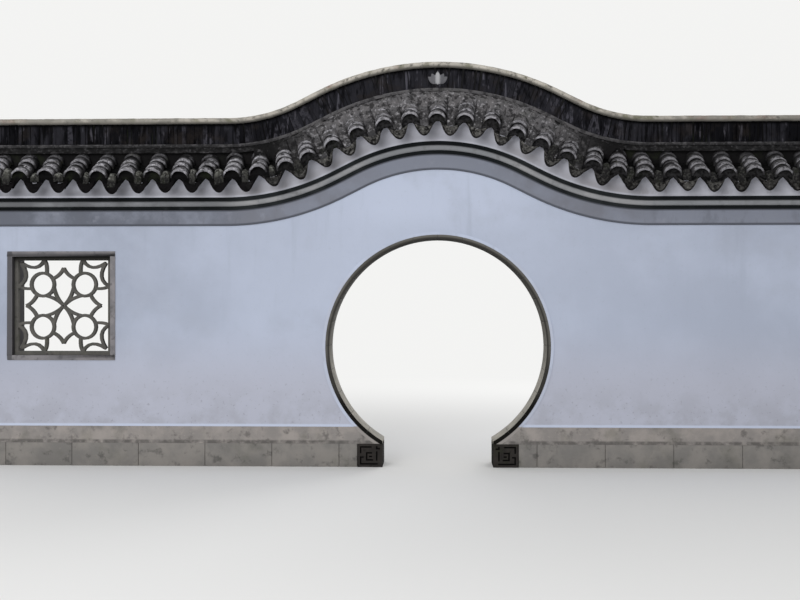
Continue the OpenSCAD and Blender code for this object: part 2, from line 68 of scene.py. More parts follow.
CAD_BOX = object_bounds()
HALF_LEN = CAD_BOX[1][0]
FRONT, BACK = -1, 1
SIDES = ((FRONT, "front"), (BACK, "back"))
HANDS = ("left", "right")
HAZE = (0.9, 0.9, 0.89)


def length(name, words, default):
    """A size in metres that shows in the sidebar."""
    return FloatProperty(
        name=name, description=words, default=default, min=0.0, subtype="DISTANCE", unit="LENGTH"
    )


def angle(name, words, degrees):
    """An angle that shows in the sidebar."""
    return FloatProperty(
        name=name, description=words, default=radians(degrees), subtype="ANGLE", unit="ROTATION"
    )


def colour(name, words, default):
    """A colour that shows in the sidebar."""
    return FloatVectorProperty(
        name=name, description=words, default=default, size=3, min=0.0, max=1.0, subtype="COLOR"
    )


class GateSizes(bpy.types.PropertyGroup):
    """Sizes that the wall's fine shapes follow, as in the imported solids."""

    crest_radius: length("Crest radius", "Radius of the wave's line over the gate", 1.63)
    valley_radius: length("Valley radius", "Radius of the wave's line where it runs out", 2.67)
    wave_lean: angle("Wave lean", "Steepest slope of the wave", 26.6)
    wave_run: length("Wave run", "Straight stretch between the wave's arcs", 0.23)
    wave_foot: length("Wave foot", "Height of the wave's line over the level stretches", 2.415)
    wall_face: length("Wall face", "Distance of the wall's face from its middle", 0.165)
    band_height: length("Band height", "Height of the grey band", 0.158)
    lower_line: length("Lower line", "Height of the dark line under the moulding", 0.035)
    moulding_height: length("Moulding height", "Height of the pale moulding", 0.055)
    upper_line: length("Upper line", "Height of the dark line over the moulding", 0.038)
    frieze_height: length("Frieze height", "Height of the pale frieze", 0.197)
    eave_reach: length("Eave reach", "Distance of the eave from the middle of the wall", 0.38)
    eave_height: length("Eave height", "Height of the tiles' seat over the wave's line", 0.458)
    roof_slope: angle("Roof slope", "Slope of the tiles", 32)
    tile_pitch: length("Tile pitch", "Distance between rows of cover tiles", 0.265)
    cover_radius: length("Cover radius", "Outer radius of a cover tile at its lower end", 0.094)
    cover_exposure: length("Cover exposure", "Length of a cover tile that shows", 0.1093)
    drip_width: length("Drip width", "Width of a drip", 0.188)
    drip_height: length("Drip height", "Height of a drip's point", 0.128)
    standing_foot: length("Standing foot", "Height of the standing tiles' foot over the wave's line", 0.835)
    standing_height: length("Standing height", "Height of the band of standing tiles", 0.207)
    standing_pitch: length("Standing pitch", "Mean distance between standing tiles", 0.043)
    cap_height: length("Cap height", "Height of the rounded cap", 0.072)
    cap_width: length("Cap width", "Width of the rounded cap", 0.156)
    bud_height: length("Bud height", "Height of the carved bud", 0.14)
    gate_radius: length("Gate radius", "Clear radius of the round opening", 1.085)
    gate_height: length("Gate height", "Height of the centre of the round opening", 1.197088)
    ring_thickness: length("Ring thickness", "Thickness of the stones that line the opening", 0.041)
    ring_proud: length("Ring proud", "How far the lining stands out of the wall", 0.024)
    ring_slope: length("Ring slope", "How far the lining's face slopes back", 0.013)
    ring_stones: IntProperty(name="Ring stones", description="Stones in the lining", default=24, min=6)
    passage_width: length("Passage width", "Width of the passage between the foot stones", 1.104)
    foot_height: length("Foot height", "Height of the foot stones", 0.232)

    def levels(self):
        """Heights over the wave's line where the bands under the coping meet."""
        out = [0.0]
        for band in ("band_height", "lower_line", "moulding_height", "upper_line", "frieze_height"):
            out.append(out[-1] + getattr(self, band))
        return out

    def seat_at(self, y):
        """Height of the tiles' seat over the wave's line at a distance from the middle of the wall."""
        return self.eave_height + (self.eave_reach - y) * tan(self.roof_slope)


class GateColours(bpy.types.PropertyGroup):
    """Main colour of each finish."""

    plaster: colour("Plaster", "White lime render of the wall", (0.40, 0.44, 0.54))
    band: colour("Grey band", "Painted band under the coping", (0.175, 0.188, 0.228))
    moulding: colour("Moulding", "Pale rounded moulding", (0.188, 0.194, 0.205))
    frieze: colour("Frieze", "Pale frieze under the eave", (0.42, 0.425, 0.475))
    line: colour("Dark line", "Painted lines beside the moulding", (0.009, 0.0105, 0.0115))
    cover: colour("Cover tiles", "Clay of the cover tiles", (0.035, 0.034, 0.036))
    lichen: colour("Lichen", "Pale growth on the tiles", (0.27, 0.265, 0.285))
    # Near black partly as painted shade in the gaps between the rows of cover tiles.
    pan: colour("Pan tiles", "Clay of the pan tiles", (0.006, 0.006, 0.006))
    drip: colour("Drips", "Clay of the drips", (0.006, 0.0055, 0.006))
    standing: colour("Standing tiles", "Tiles on edge in the ridge", (0.005, 0.005, 0.0062))
    cap: colour("Ridge cap", "Rounded mortar on the ridge", (0.235, 0.222, 0.198))
    mortar: colour("Mortar", "Weathered mortar between the tiles", (0.083, 0.081, 0.085))
    ring: colour("Ring stone", "Stone that lines the opening", (0.27, 0.26, 0.235))
    foot: colour("Foot stone", "Carved stones beside the passage", (0.022, 0.02, 0.019))
    slab: colour("Plinth stone", "Slabs of the plinth", (0.165, 0.158, 0.15))
    course: colour("Plinth course", "Rendered course over the slabs", (0.225, 0.21, 0.2))
    frame: colour("Window stone", "Stone round the window", (0.17, 0.165, 0.175))
    lattice: colour("Lattice", "Cast bars in the window", (0.08, 0.078, 0.073))
    bud: colour("Carved bud", "Pale plaster carving on the ridge", (0.105, 0.105, 0.115))


# Meshes


def mesh_object(name, bm):
    """A new object at the origin from a bmesh, which is freed."""
    mesh = bpy.data.meshes.new(name)
    bm.to_mesh(mesh)
    bm.free()
    obj = bpy.data.objects.new(name, mesh)
    bpy.context.scene.collection.objects.link(obj)
    return obj


def drop(obj):
    """Deletes a helper object."""
    bpy.data.objects.remove(obj, do_unlink=True)


def shade(obj, degrees=35):
    """Smooth shading with edges kept sharp over an angle."""
    obj.data.shade_smooth()
    obj.data.set_sharp_from_angle(angle=radians(degrees))
    return obj


def finished(obj, material):
    """Gives a piece its one material."""
    obj.data.materials.clear()
    obj.data.materials.append(material)
    return obj


def keep_inside(mesh):
    """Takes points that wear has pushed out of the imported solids' box back onto it."""
    points = numpy.empty(len(mesh.vertices) * 3, dtype=numpy.float32)
    mesh.vertices.foreach_get("co", points)
    spots = points.reshape(-1, 3).clip(CAD_BOX[0], CAD_BOX[1]).astype(numpy.float32)
    mesh.vertices.foreach_set("co", spots.ravel())
    mesh.update()


def seat(piece, slot, *nodes):
    """Lets a finished piece ride on the wall in place of the CAD nodes it stands for."""
    keep_inside(piece.data)
    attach(piece, "root")
    if nodes:
        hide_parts(*nodes)


def loops_mesh(loops, shell=False, **marks):
    """A bmesh skinned over loops of points with its ends closed; marks give numbers to the points."""
    bm = bmesh.new()
    layers = {name: bm.verts.layers.float.new(name) for name in marks}
    rings = []
    for i, loop in enumerate(loops):
        ring = []
        for j, point in enumerate(loop):
            vert = bm.verts.new(point)
            for name, layer in layers.items():
                vert[layer] = marks[name](i, j)
            ring.append(vert)
        rings.append(ring)
    for a, b in zip(rings, rings[1:]):
        for i in range(len(a)):
            j = (i + 1) % len(a)
            bm.faces.new((a[i], a[j], b[j], b[i]))
    for ring in (rings[0], rings[-1]):
        if shell:
            for i in range(len(ring) // 2 - 1):
                bm.faces.new((ring[i], ring[i + 1], ring[-i - 2], ring[-i - 1]))
        else:
            bm.faces.new(ring)
    bmesh.ops.recalc_face_normals(bm, faces=bm.faces)
    return bm


def merged(parts):
    """One bmesh from several."""
    whole = bmesh.new()
    for bm in parts:
        mesh = bpy.data.meshes.new("part")
        bm.to_mesh(mesh)
        bm.free()
        whole.from_mesh(mesh)
        bpy.data.meshes.remove(mesh)
    return whole


def moved(bm, matrix):
    """Moves a whole bmesh."""
    bmesh.ops.transform(bm, matrix=matrix, verts=bm.verts)
    return bm


def to_side(bm, side):
    """Mirrors a shape that was made for the front onto the back."""
    if side == BACK:
        moved(bm, Matrix.Scale(-1, 4, (0, 1, 0)))
        bmesh.ops.recalc_face_normals(bm, faces=bm.faces)
    return bm


def plain_mesh(obj):
    """Turns an object's evaluated shape into its own plain mesh."""
    graph = bpy.context.evaluated_depsgraph_get()
    made = bpy.data.meshes.new_from_object(
        obj.evaluated_get(graph), preserve_all_data_layers=True, depsgraph=graph
    )
    obj.modifiers.clear()
    obj.data = made
    obj.data.name = obj.name
    return obj


def worn_edges(obj, width, over=30):
    """Rounds a piece's edges that are sharper than an angle."""
    bevel = obj.modifiers.new("worn edges", "BEVEL")
    bevel.width = width
    bevel.segments = 2
    bevel.limit_method = "ANGLE"
    bevel.angle_limit = radians(over)
    return plain_mesh(obj)


def softened(name, nodes, width):
    """A copy of CAD nodes as one piece with its sharp edges worn round."""
    bm = bmesh.new()
    for node in nodes:
        bm.from_mesh(frame["nodes"][node].data)
    bmesh.ops.remove_doubles(bm, verts=bm.verts, dist=1e-5)
    bmesh.ops.dissolve_limit(bm, angle_limit=radians(1), verts=bm.verts, edges=bm.edges)
    return shade(worn_edges(mesh_object(name, bm), width))


# The wave of the coping


def wave_line(sizes, level=0.0, arc_steps=48):
    """Points of the wave's line from the left end to the right, at a height square to it."""
    lean, crest_r, valley_r = sizes.wave_lean, sizes.crest_radius, sizes.valley_radius
    crest_drop = crest_r * (1 - cos(lean)) + sizes.wave_run * sin(lean)
    valley_x = (crest_r + valley_r) * sin(lean) + sizes.wave_run * cos(lean)
    crest_z = sizes.wave_foot + crest_drop + valley_r * (1 - cos(lean))
    angles = [lean * i / arc_steps for i in range(arc_steps + 1)]
    half = [(crest_r * sin(a), crest_z - crest_r * (1 - cos(a)), a) for a in angles]
    for a in reversed(angles):
        half.append((valley_x - valley_r * sin(a), sizes.wave_foot + valley_r * (1 - cos(a)), a))
    half.append((HALF_LEN, sizes.wave_foot, 0.0))
    whole = [(-x, z, -a) for x, z, a in reversed(half[1:])] + half
    return [Vector((x + level * sin(a), 0, z + level * cos(a))) for x, z, a in whole]


def line_length(points):
    """Length of a line through points."""
    return sum((b - a).length for a, b in zip(points, points[1:]))


def wave_object(sizes, level, name="wave line"):
    """An object whose edges follow the wave at a height square to it."""
    bm = bmesh.new()
    verts = [bm.verts.new(p) for p in wave_line(sizes, level)]
    for a, b in zip(verts, verts[1:]):
        bm.edges.new((a, b))
    return mesh_object(name, bm)


def eave_rows(sizes):
    """Distance from the middle row of cover tiles to the last one, and how many rows that is."""
    half = line_length(wave_line(sizes, sizes.eave_height)) / 2 - sizes.cover_radius
    return half, round(half / sizes.tile_pitch)


# Nodes


class Nodes:
    """Short words for building a node tree."""

    def __init__(self, tree):
        self.tree = tree

    def put(self, socket, value):
        """Links a socket to another or sets its value, None leaving it alone."""
        if isinstance(value, bpy.types.NodeSocket):
            self.tree.links.new(value, socket)
        elif value is not None:
            socket.default_value = (*value, 1.0) if socket.type == "RGBA" else value

    def add(self, kind, *values, **named):
        """A node with options under small names, and inputs in order or under capital names."""
        node = self.tree.nodes.new(kind)
        inputs = {key.replace("_", " "): value for key, value in named.items() if key[0].isupper()}
        for key, value in named.items():
            if key[0].islower():
                setattr(node, key, value)
        for socket, value in zip(node.inputs, values):
            self.put(socket, value)
        for key, value in inputs.items():
            self.put(node.inputs[key], value)
        return node

    def math(self, operation, a, b=None):
        """The result of a maths node."""
        return self.add("ShaderNodeMath", a, b, operation=operation).outputs[0]

    def vector(self, operation, a, b=None, **named):
        """The results of a vector maths node."""
        return self.add("ShaderNodeVectorMath", a, b, operation=operation, **named).outputs

    def parts(self, vector):
        """The three numbers of a vector."""
        return self.add("ShaderNodeSeparateXYZ", vector).outputs

    def combine(self, x=None, y=None, z=None):
        """A vector from three numbers."""
        return self.add("ShaderNodeCombineXYZ", x, y, z).outputs[0]

    def seen(self):
        """1 where the camera, a mirror or glass looks, and 0 for light that falls on the wall."""
        path = self.add("ShaderNodeLightPath").outputs
        direct = self.math("MAXIMUM", path["Is Camera Ray"], path["Is Glossy Ray"])
        return self.math("MAXIMUM", direct, path["Is Transmission Ray"])


class Tree(Nodes):
    """A Geometry Nodes tree with named inputs, ready to be put on an object."""

    def __init__(self, name, **inputs):
        super().__init__(bpy.data.node_groups.new(name, "GeometryNodeTree"))
        face = self.tree.interface
        shared = {"Wear": "Float", "Wear scale": "Float", "Material": "Material"}
        for label, kind in {"Geometry": "Geometry", **inputs, **shared}.items():
            face.new_socket(label.replace("_", " "), in_out="INPUT", socket_type="NodeSocket" + kind)
        face.new_socket("Geometry", in_out="OUTPUT", socket_type="NodeSocketGeometry")
        self.inputs = self.add("NodeGroupInput").outputs

    def scaled(self, vector, factor):
        """A vector times a number."""
        return self.vector("SCALE", vector, Scale=factor)[0]

    def place(self):
        """Each point's place."""
        return self.add("GeometryNodeInputPosition").outputs[0]

    def lean(self, tangent):
        """How far a curve leans from level where it has a tangent."""
        way = self.parts(tangent)
        return self.math("ARCTAN2", self.math("MULTIPLY", way["Z"], -1.0), way["X"])

    def mark(self, geometry, name, value, domain="POINT"):
        """Stores a number on the geometry under a name."""
        kind = "GeometryNodeStoreNamedAttribute"
        return self.add(kind, geometry, None, name, value, data_type="FLOAT", domain=domain).outputs[0]

    def put_at(self, geometry, place=None, offset=None):
        """Sets where points are, or moves them."""
        return self.add("GeometryNodeSetPosition", geometry, None, place, offset).outputs[0]

    def chance(self, low, high, seed):
        """A random number for each element."""
        kind = "FunctionNodeRandomValue"
        return self.add(kind, None, None, low, high, data_type="FLOAT", Seed=seed).outputs[1]

    def around(self, label, seed, middle=0.0):
        """A random number as far from a middle as one of the tree's inputs says."""
        reach = self.inputs[label]
        return self.chance(self.math("SUBTRACT", middle, reach), self.math("ADD", middle, reach), seed)

    def points(self, curve, count):
        """Points at even steps along a curve, and its way there."""
        even = self.add("GeometryNodeResampleCurve", curve, Count=count).outputs[0]
        return self.add("GeometryNodeCurveToPoints", even, mode="EVALUATED").outputs

    def tiles(self, points, offset, turn, scale, seed):
        """Sets the tile on points, each with a tint of its own, and ends the tree."""
        tile = self.add("GeometryNodeObjectInfo", self.inputs["Tile"], True).outputs["Geometry"]
        placed = self.put_at(points, None, offset)
        rows = self.add("GeometryNodeInstanceOnPoints", placed, None, tile, Rotation=turn, Scale=scale)
        return self.finish(self.mark(rows.outputs[0], "tint", self.chance(0.0, 1.0, seed), "INSTANCE"))

    def worn(self, geometry):
        """Moves the points of a mesh a little, as hand work and weather do."""
        clouds = self.add("ShaderNodeTexNoise", self.place(), Scale=self.inputs["Wear scale"], Detail=3.0)
        way = self.vector("SUBTRACT", clouds.outputs["Color"], (0.5, 0.5, 0.5))[0]
        return self.put_at(geometry, None, self.scaled(way, self.inputs["Wear"]))

    def finish(self, geometry):
        """Realises the instances, wears them, gives the material and ends the tree."""
        real = self.worn(self.add("GeometryNodeRealizeInstances", geometry).outputs[0])
        last = self.add("GeometryNodeSetMaterial", real, None, self.inputs["Material"])
        self.add("NodeGroupOutput", last.outputs[0])
        return self.tree


def grown(obj, tree, **values):
    """Runs a tree on an object and keeps the result as the object's plain mesh."""
    sockets = {s.name: s.identifier for s in tree.interface.items_tree if s.in_out == "INPUT"}
    modifier = obj.modifiers.new(tree.name, "NODES")
    modifier.node_group = tree
    for label, value in values.items():
        modifier[sockets[label.replace("_", " ")]] = value
    return plain_mesh(obj)


def bend_tree():
    """Bends a straight piece along the wave: X becomes the way along it and Z the height square to it."""
    t = Tree("Along the wave", Wave="Object")
    wave = t.add("GeometryNodeObjectInfo", t.inputs["Wave"]).outputs["Geometry"]
    curve = t.add("GeometryNodeMeshToCurve", wave).outputs[0]
    half = t.math("MULTIPLY", t.add("GeometryNodeCurveLength", curve).outputs[0], 0.5)
    where = t.parts(t.place())
    marked = t.mark(t.inputs["Geometry"], "level", where["Z"])
    along = t.math("ADD", where["X"], half)
    sample = t.add("GeometryNodeSampleCurve", curve, mode="LENGTH", Length=along).outputs
    way = t.parts(sample["Tangent"])
    square = t.combine(t.math("MULTIPLY", way["Z"], -1.0), None, way["X"])
    place = t.vector("ADD", sample["Position"], t.scaled(square, where["Z"]))[0]
    return t.finish(t.put_at(marked, t.vector("ADD", place, t.combine(None, where["Y"]))[0]))


def rows_tree():
    """Sets a tile in lapped rows along the eave, square to the wave, each a little out of true."""
    t = Tree(
        "Lapped rows", Tile="Object", Start="Float", Rows="Int", Near="Float", Reach="Float", Laps="Int",
        Lap_step="Vector", Shift="Float", Turn="Float", Swell="Float",
    )
    curve = t.add("GeometryNodeMeshToCurve", t.inputs["Geometry"]).outputs[0]
    start = t.inputs["Start"]
    end = t.math("SUBTRACT", t.add("GeometryNodeCurveLength", curve).outputs[0], start)
    trim = t.add("GeometryNodeTrimCurve", curve, None, None, None, start, end, mode="LENGTH")
    points = t.points(trim.outputs[0], t.inputs["Rows"])
    named = t.mark(points[0], "lean", t.lean(points["Tangent"]))
    away = t.math("ABSOLUTE", t.parts(t.place())["X"])
    far = t.math("GREATER_THAN", away, t.inputs["Reach"])
    outside = t.math("MAXIMUM", far, t.math("LESS_THAN", away, t.inputs["Near"]))
    kept = t.add("GeometryNodeDeleteGeometry", named, outside, domain="POINT").outputs[0]
    laps = t.add("GeometryNodeDuplicateElements", kept, domain="POINT", Amount=t.inputs["Laps"]).outputs
    own = t.add("GeometryNodeInputNamedAttribute", "lean", data_type="FLOAT").outputs[0]
    step = t.scaled(t.inputs["Lap step"], laps["Duplicate Index"])
    turned = t.add("ShaderNodeVectorRotate", step, rotation_type="Y_AXIS", Angle=own).outputs[0]
    loose = t.combine(*[t.around("Shift", seed) for seed in (11, 12, 13)])
    twist = t.combine(t.around("Turn", 21), t.math("ADD", own, t.around("Turn", 22)), t.around("Turn", 23))
    swell = t.combine(t.around("Swell", 26, 1.0), 1.0, t.around("Swell", 27, 1.0))
    return t.tiles(laps[0], t.vector("ADD", turned, loose)[0], twist, swell, 31)


def standing_tree():
    """Sets tiles on edge side by side along the ridge."""
    t = Tree("Standing tiles", Tile="Object", Count="Int", Shift="Float", Turn="Float", Swell="Float")
    curve = t.add("GeometryNodeMeshToCurve", t.inputs["Geometry"]).outputs[0]
    points = t.points(curve, t.inputs["Count"])
    loose = t.combine(t.around("Shift", 41), t.around("Shift", 42))
    twist = t.math("ADD", t.lean(points["Tangent"]), t.around("Turn", 43))
    swell = t.combine(t.around("Swell", 44, 1.0), t.chance(0.93, 1.0, 45), 1.0)
    return t.tiles(points[0], loose, t.combine(None, twist), swell, 46)


# Finishes


def tone(base, factor, warm=0.0):
    """A colour made lighter or darker, and warmer or cooler."""
    r, g, b = (c * factor for c in base)
    return (min(r * (1 + warm), 1.0), min(g, 1.0), min(b * (1 - warm), 1.0))


class Finish(Nodes):
    """A procedural material built up in layers on Object coordinates."""

    def __init__(self, name, base, shine=0.12):
        self.material = bpy.data.materials.new(name)
        self.material.use_nodes = True
        super().__init__(self.material.node_tree)
        self.tree.nodes.clear()
        self.shader = self.add("ShaderNodeBsdfPrincipled", Specular_IOR_Level=shine)
        self.out = self.add("ShaderNodeOutputMaterial", self.shader.outputs[0])
        self.coords = self.add("ShaderNodeTexCoord").outputs["Object"]
        self.base = self.colour = base

    def noise(self, scale, detail=4.0, rough=0.6, drawn=1.0, seed=0.0):
        """A noise pattern, drawn out upwards by a small number."""
        place = (seed, seed * 0.7, seed * 1.3)
        spot = self.add("ShaderNodeMapping", self.coords, place, (0, 0, 0), (1, 1, drawn)).outputs[0]
        return self.add("ShaderNodeTexNoise", spot, Scale=scale, Detail=detail, Roughness=rough).outputs[0]

    def at(self, name):
        """A place along an axis, its distance from the middle for a name like |X|, or a mark."""
        if name[0] == "|":
            return self.math("ABSOLUTE", self.at(name[1]))
        if name in "XYZ":
            return self.parts(self.coords)[name]
        return self.add("ShaderNodeAttribute", attribute_name=name).outputs["Fac"]

    def facing(self, axis):
        """How far a surface looks along one axis, from -1 to 1."""
        return self.parts(self.add("ShaderNodeNewGeometry").outputs["Normal"])[axis]

    def spread(self, value, low, high, to_low=0.0, to_high=1.0):
        """A value, or what is at a name, taken from one range to another and kept inside it."""
        if isinstance(value, str):
            value = self.at(value)
        ends = (value, low, high, to_low, to_high)
        return self.add("ShaderNodeMapRange", *ends, interpolation_type="SMOOTHSTEP").outputs[0]

    def patch(self, scale, low, high, seed=0.0, drawn=1.0, detail=5.0):
        """Patches of 1 on 0 where a noise pattern passes from a low to a high value."""
        return self.spread(self.noise(scale, detail, drawn=drawn, seed=seed), low, high)

    def crest(self, near, far):
        """1 over the gate and 0 over the level stretches."""
        return self.spread("|X|", far, near)

    def lay(self, over, *factors):
        """Lays a colour, or the base at a tone or (tone, warmth), as strongly as the factors say."""
        if isinstance(over, float):
            over = (over, 0.0)
        if len(over) == 2:
            over = tone(self.base, *over)
        factor = factors[0]
        for other in factors[1:]:
            factor = self.math("MULTIPLY", factor, other)
        node = self.add("ShaderNodeMix", factor, data_type="RGBA")
        a, b = (s for s in node.inputs if s.type == "RGBA")
        self.put(a, self.colour)
        self.put(b, over)
        self.colour = next(s for s in node.outputs if s.type == "RGBA")
        return self

    def end(self, pattern, low, high, *relief):
        """The material with a roughness that follows a pattern, and bumps from (pattern, metres)."""
        normal = None
        for height, depth in relief:
            normal = self.add("ShaderNodeBump", Distance=depth, Height=height, Normal=normal).outputs[0]
        self.put(self.shader.inputs["Normal"], normal)
        self.put(self.shader.inputs["Roughness"], self.spread(pattern, 0.3, 0.7, low, high))
        self.put(self.shader.inputs["Base Color"], self.colour)
        return self.material


class Stone(Finish):
    """Weathered stone or mortar: grain, pale worn spots, dark pits and a little moss."""

    def __init__(self, name, base, moss=0.3, spots=1.9, scale=1.0, shine=0.06):
        super().__init__(name, base, shine)
        self.scale = scale
        self.lay((1.3, 0.02), self.patch(7 * scale, 0.36, 0.66, detail=6))
        self.lay(0.55, self.patch(16 * scale, 0.55, 0.7, 2.0), 0.8)
        self.lay((spots, 0.03), self.patch(42 * scale, 0.6, 0.72, 7.0), 0.7)
        self.lay((0.035, 0.045, 0.02), self.patch(5 * scale, 0.52, 0.68, 11.0), moss)

    def done(self):
        """The material with the grain that most stones share."""
        patches = self.noise(7 * self.scale, 6)
        grain = self.noise(90 * self.scale, 5, 0.7)
        return self.end(patches, 0.75, 0.95, (grain, 0.0012), (patches, 0.004))


def plaster_finish(base):
    """White render with soft clouds, thin runs under the coping, splashes near the ground and a painted
    highlight along its foot.
    """
    f = Finish("white_plaster", base)
    fine = f.noise(26, 5, 0.65)
    f.lay(0.87, f.spread("X", -0.5, 4.2))
    f.lay(0.78, f.spread("X", -1.2, -3.4))
    f.lay(1.09, f.patch(0.9, 0.35, 0.7), 0.7)
    f.lay(1.13, f.crest(0.5, 1.3), f.spread("Z", 2.3, 2.6))
    f.lay((0.84, 0.02), f.patch(1.7, 0.5, 0.75, seed=9.0), 0.45)
    f.lay(0.74, f.patch(7, 0.55, 0.78, 3.0, 0.09), f.spread("Z", 1.0, 2.6, 0.05, 0.35))
    f.lay((0.405, 0.412, 0.478), f.spread("Z", 1.5, 0.7), 0.75)
    f.lay((0.7, 0.08), f.patch(4.6, 0.4, 0.64, 5.0, detail=8), f.spread("Z", 0.95, 0.42), 0.5)
    f.lay((0.5, 0.08), f.patch(30, 0.6, 0.7, 8.0, detail=3), f.spread("Z", 1.2, 0.5, 0.1, 0.5))
    # Lighter along the wall's foot over the plinth course: a painted highlight on the wall's lower edge.
    course_top = 0.425
    f.lay(1.2, f.spread("Z", course_top + 0.007, course_top - 0.007))
    return f.end(fine, 0.82, 0.95, (fine, 0.0009), (f.noise(3.0, 3), 0.004))


def band_finish(name, base, blotch, clean=1.12, high=1.0, right=1.1, flank=1.0, shine=0.12, edges=()):
    """Painted render with worn blotches, tones along the wave, and edges of (tone, strength, range)."""
    f = Finish(name, base, shine)
    fine = f.noise(60, 4)
    f.lay(0.69, f.spread("X", -1.2, -3.0))
    f.lay(right, f.spread("X", 0.5, 2.5))
    f.lay(0.8, f.spread("X", 0.5, 2.5), f.patch(9, 0.5, 0.66, 19.0, 0.5), 0.6)
    f.lay(high, f.crest(0.8, 2.0))
    f.lay((flank, 0.03), f.crest(1.8, 2.3), f.spread("|X|", 0.45, 0.95))
    f.lay(clean, f.patch(2.4, 0.4, 0.68))
    f.lay((blotch, 0.02), f.patch(6.5, 0.56, 0.72, 4.0), 0.7)
    f.lay((0.66, 0.05), f.patch(11, 0.58, 0.75, 6.0, 0.25), 0.45)
    for over, strength, *where in edges:
        f.lay(over, f.spread(*where), strength)
    return f.end(fine, 0.75, 0.92, (fine, 0.0007), (f.noise(9, 3), 0.002))


def cover_finish(base, pale):
    """Fired clay, dark on its flanks, with pale lichen on its crown and lip, painted highlights along the
    lips, and painted shade under each lap and towards the ridge on the level stretches.
    """
    f = Finish("cover_tiles", base, 0.05)
    growth = f.noise(34, 5, 0.7, seed=2.0)
    near, crown = f.crest(0.8, 1.6), f.spread("side", 0.97, 0.7)
    left = f.spread("X", -1.6, 1.6, 1.0, 0.5)
    bare, own = f.math("MAXIMUM", left, near), f.spread("tint", 0.0, 1.0, 0.45, 1.0)
    f.lay(tone(pale, 0.5), crown, own, bare, f.patch(22, 0.34, 0.56, 17.0))
    front, grown_over = f.spread("up", 0.6, 0.2), f.spread(growth, 0.44, 0.54)
    f.lay(tone(pale, 1.7), crown, front, left, grown_over, f.patch(9, 0.34, 0.5, 24.0))
    f.lay(0.6, f.patch(28, 0.52, 0.6, 5.0), 0.8)
    # Pale lichen and a painted highlight along each tile's lip, brighter still on the lowest row near the
    # gate.
    less, lip = f.spread(near, 0.0, 1.0, 0.85, 0.45), f.spread("up", 0.15, 0.07)
    f.lay(tone(pale, 0.85), crown, lip, f.patch(30, 0.4, 0.52, 27.0), less)
    lowest, lip = f.spread("|Y|", 0.345, 0.365), f.spread("up", 0.11, 0.05)
    f.lay(tone(pale, 1.25), crown, near, lowest, lip, f.patch(18, 0.42, 0.54, 33.0), 0.9)
    # Painted shadow, with some dirt, where the next tile laps over.
    f.lay(0.2, f.spread("up", 0.6, 0.74), 0.92)
    # Painted shade of the ridge fillet over the upper tiles on the level stretches.
    f.lay(0.3, f.spread("|Y|", 0.235, 0.15), f.spread("|X|", 1.2, 1.8), 0.75)
    f.lay((0.05, 0.052, 0.03), f.patch(14, 0.58, 0.7, 9.0), 0.35)
    return f.end(growth, 0.8, 0.95, (f.noise(130, 4, 0.7), 0.002), (growth, 0.007))


def pan_finish(base, grey):
    """Near black clay of the troughs, its darkness partly painted shade between the cover rows, greyer with
    mortar over the gate.
    """
    f = Finish("pan_tiles", base, 0.02)
    grain = f.noise(110, 4, 0.7)
    f.lay(grey, f.patch(22, 0.4, 0.62, 3.0), f.crest(0.9, 1.8), 0.8)
    f.lay(2.4, f.patch(13, 0.52, 0.7, 5.0), 0.6)
    return f.end(grain, 0.7, 0.92, (grain, 0.0012), (f.noise(20, 5), 0.003))


def drip_finish(base, grey):
    """Dark moulded clay with a paler, mossy field inside its rim near the gate."""
    f = Finish("drips", base, 0.02)
    grain = f.noise(110, 4, 0.7)
    right = f.math("MULTIPLY", f.spread("X", 1.2, 2.6), f.spread("tint", 0.1, 0.9, 0.3, 0.9))
    where = f.math("MAXIMUM", f.crest(1.0, 2.0), right)
    f.lay(grey, f.spread("field", 0.0, 1.0, 0.25, 1.0), where, f.patch(24, 0.36, 0.56, 3.0, detail=4), 0.9)
    f.lay(tone(grey, 1.9), f.at("field"), where, f.patch(40, 0.52, 0.64, 8.0, detail=3), 0.75)
    f.lay(0.5, f.patch(30, 0.5, 0.6, 12.0), 0.8)
    f.lay((0.03, 0.033, 0.02), f.patch(16, 0.54, 0.7, 6.0), f.spread("X", -1.8, -0.8, 0.05, 0.16))
    return f.end(grain, 0.75, 0.95, (grain, 0.0015), (f.noise(24, 5), 0.004))


def standing_finish(base):
    """Near black tiles on edge, some paler, with runs of lime, and a painted shadow of the cap over their
    tops.
    """
    f = Finish("standing_tiles", base, 0.01)
    runs = f.noise(26, 3, drawn=0.14, seed=3.0)
    f.lay(3.2, f.crest(0.8, 2.2), 0.9)
    f.lay((4.2, 0.02), f.patch(11, 0.5, 0.62, 9.0, 0.12), 0.8)
    f.lay(3.4, f.spread("tint", 0.7, 0.95), 0.8)
    f.lay((8.0, 0.03), f.spread("tint", 0.9, 0.97), f.patch(30, 0.4, 0.56, 14.0), 0.8)
    f.lay((11.0, 0.04), f.spread(runs, 0.57, 0.66), f.patch(7, 0.44, 0.56, 21.0), 0.85)
    edges = f.patch(17, 0.57, 0.62, 8.0, 0.05, detail=2)
    f.lay((14.0, 0.02), f.crest(1.0, 2.6), edges, f.patch(9, 0.4, 0.55, 26.0), 0.8)
    f.lay((0.022, 0.018, 0.016), f.patch(5, 0.5, 0.68, 6.0), 0.5)
    f.lay(0.3, f.patch(17, 0.5, 0.62, 31.0, 0.3), 0.7)
    # Painted shadow of the cap over the top of each tile.
    f.lay(0.2, f.spread("up", 0.8, 0.98))
    return f.end(runs, 0.7, 0.9, (f.noise(90, 4), 0.0015), (runs, 0.004))


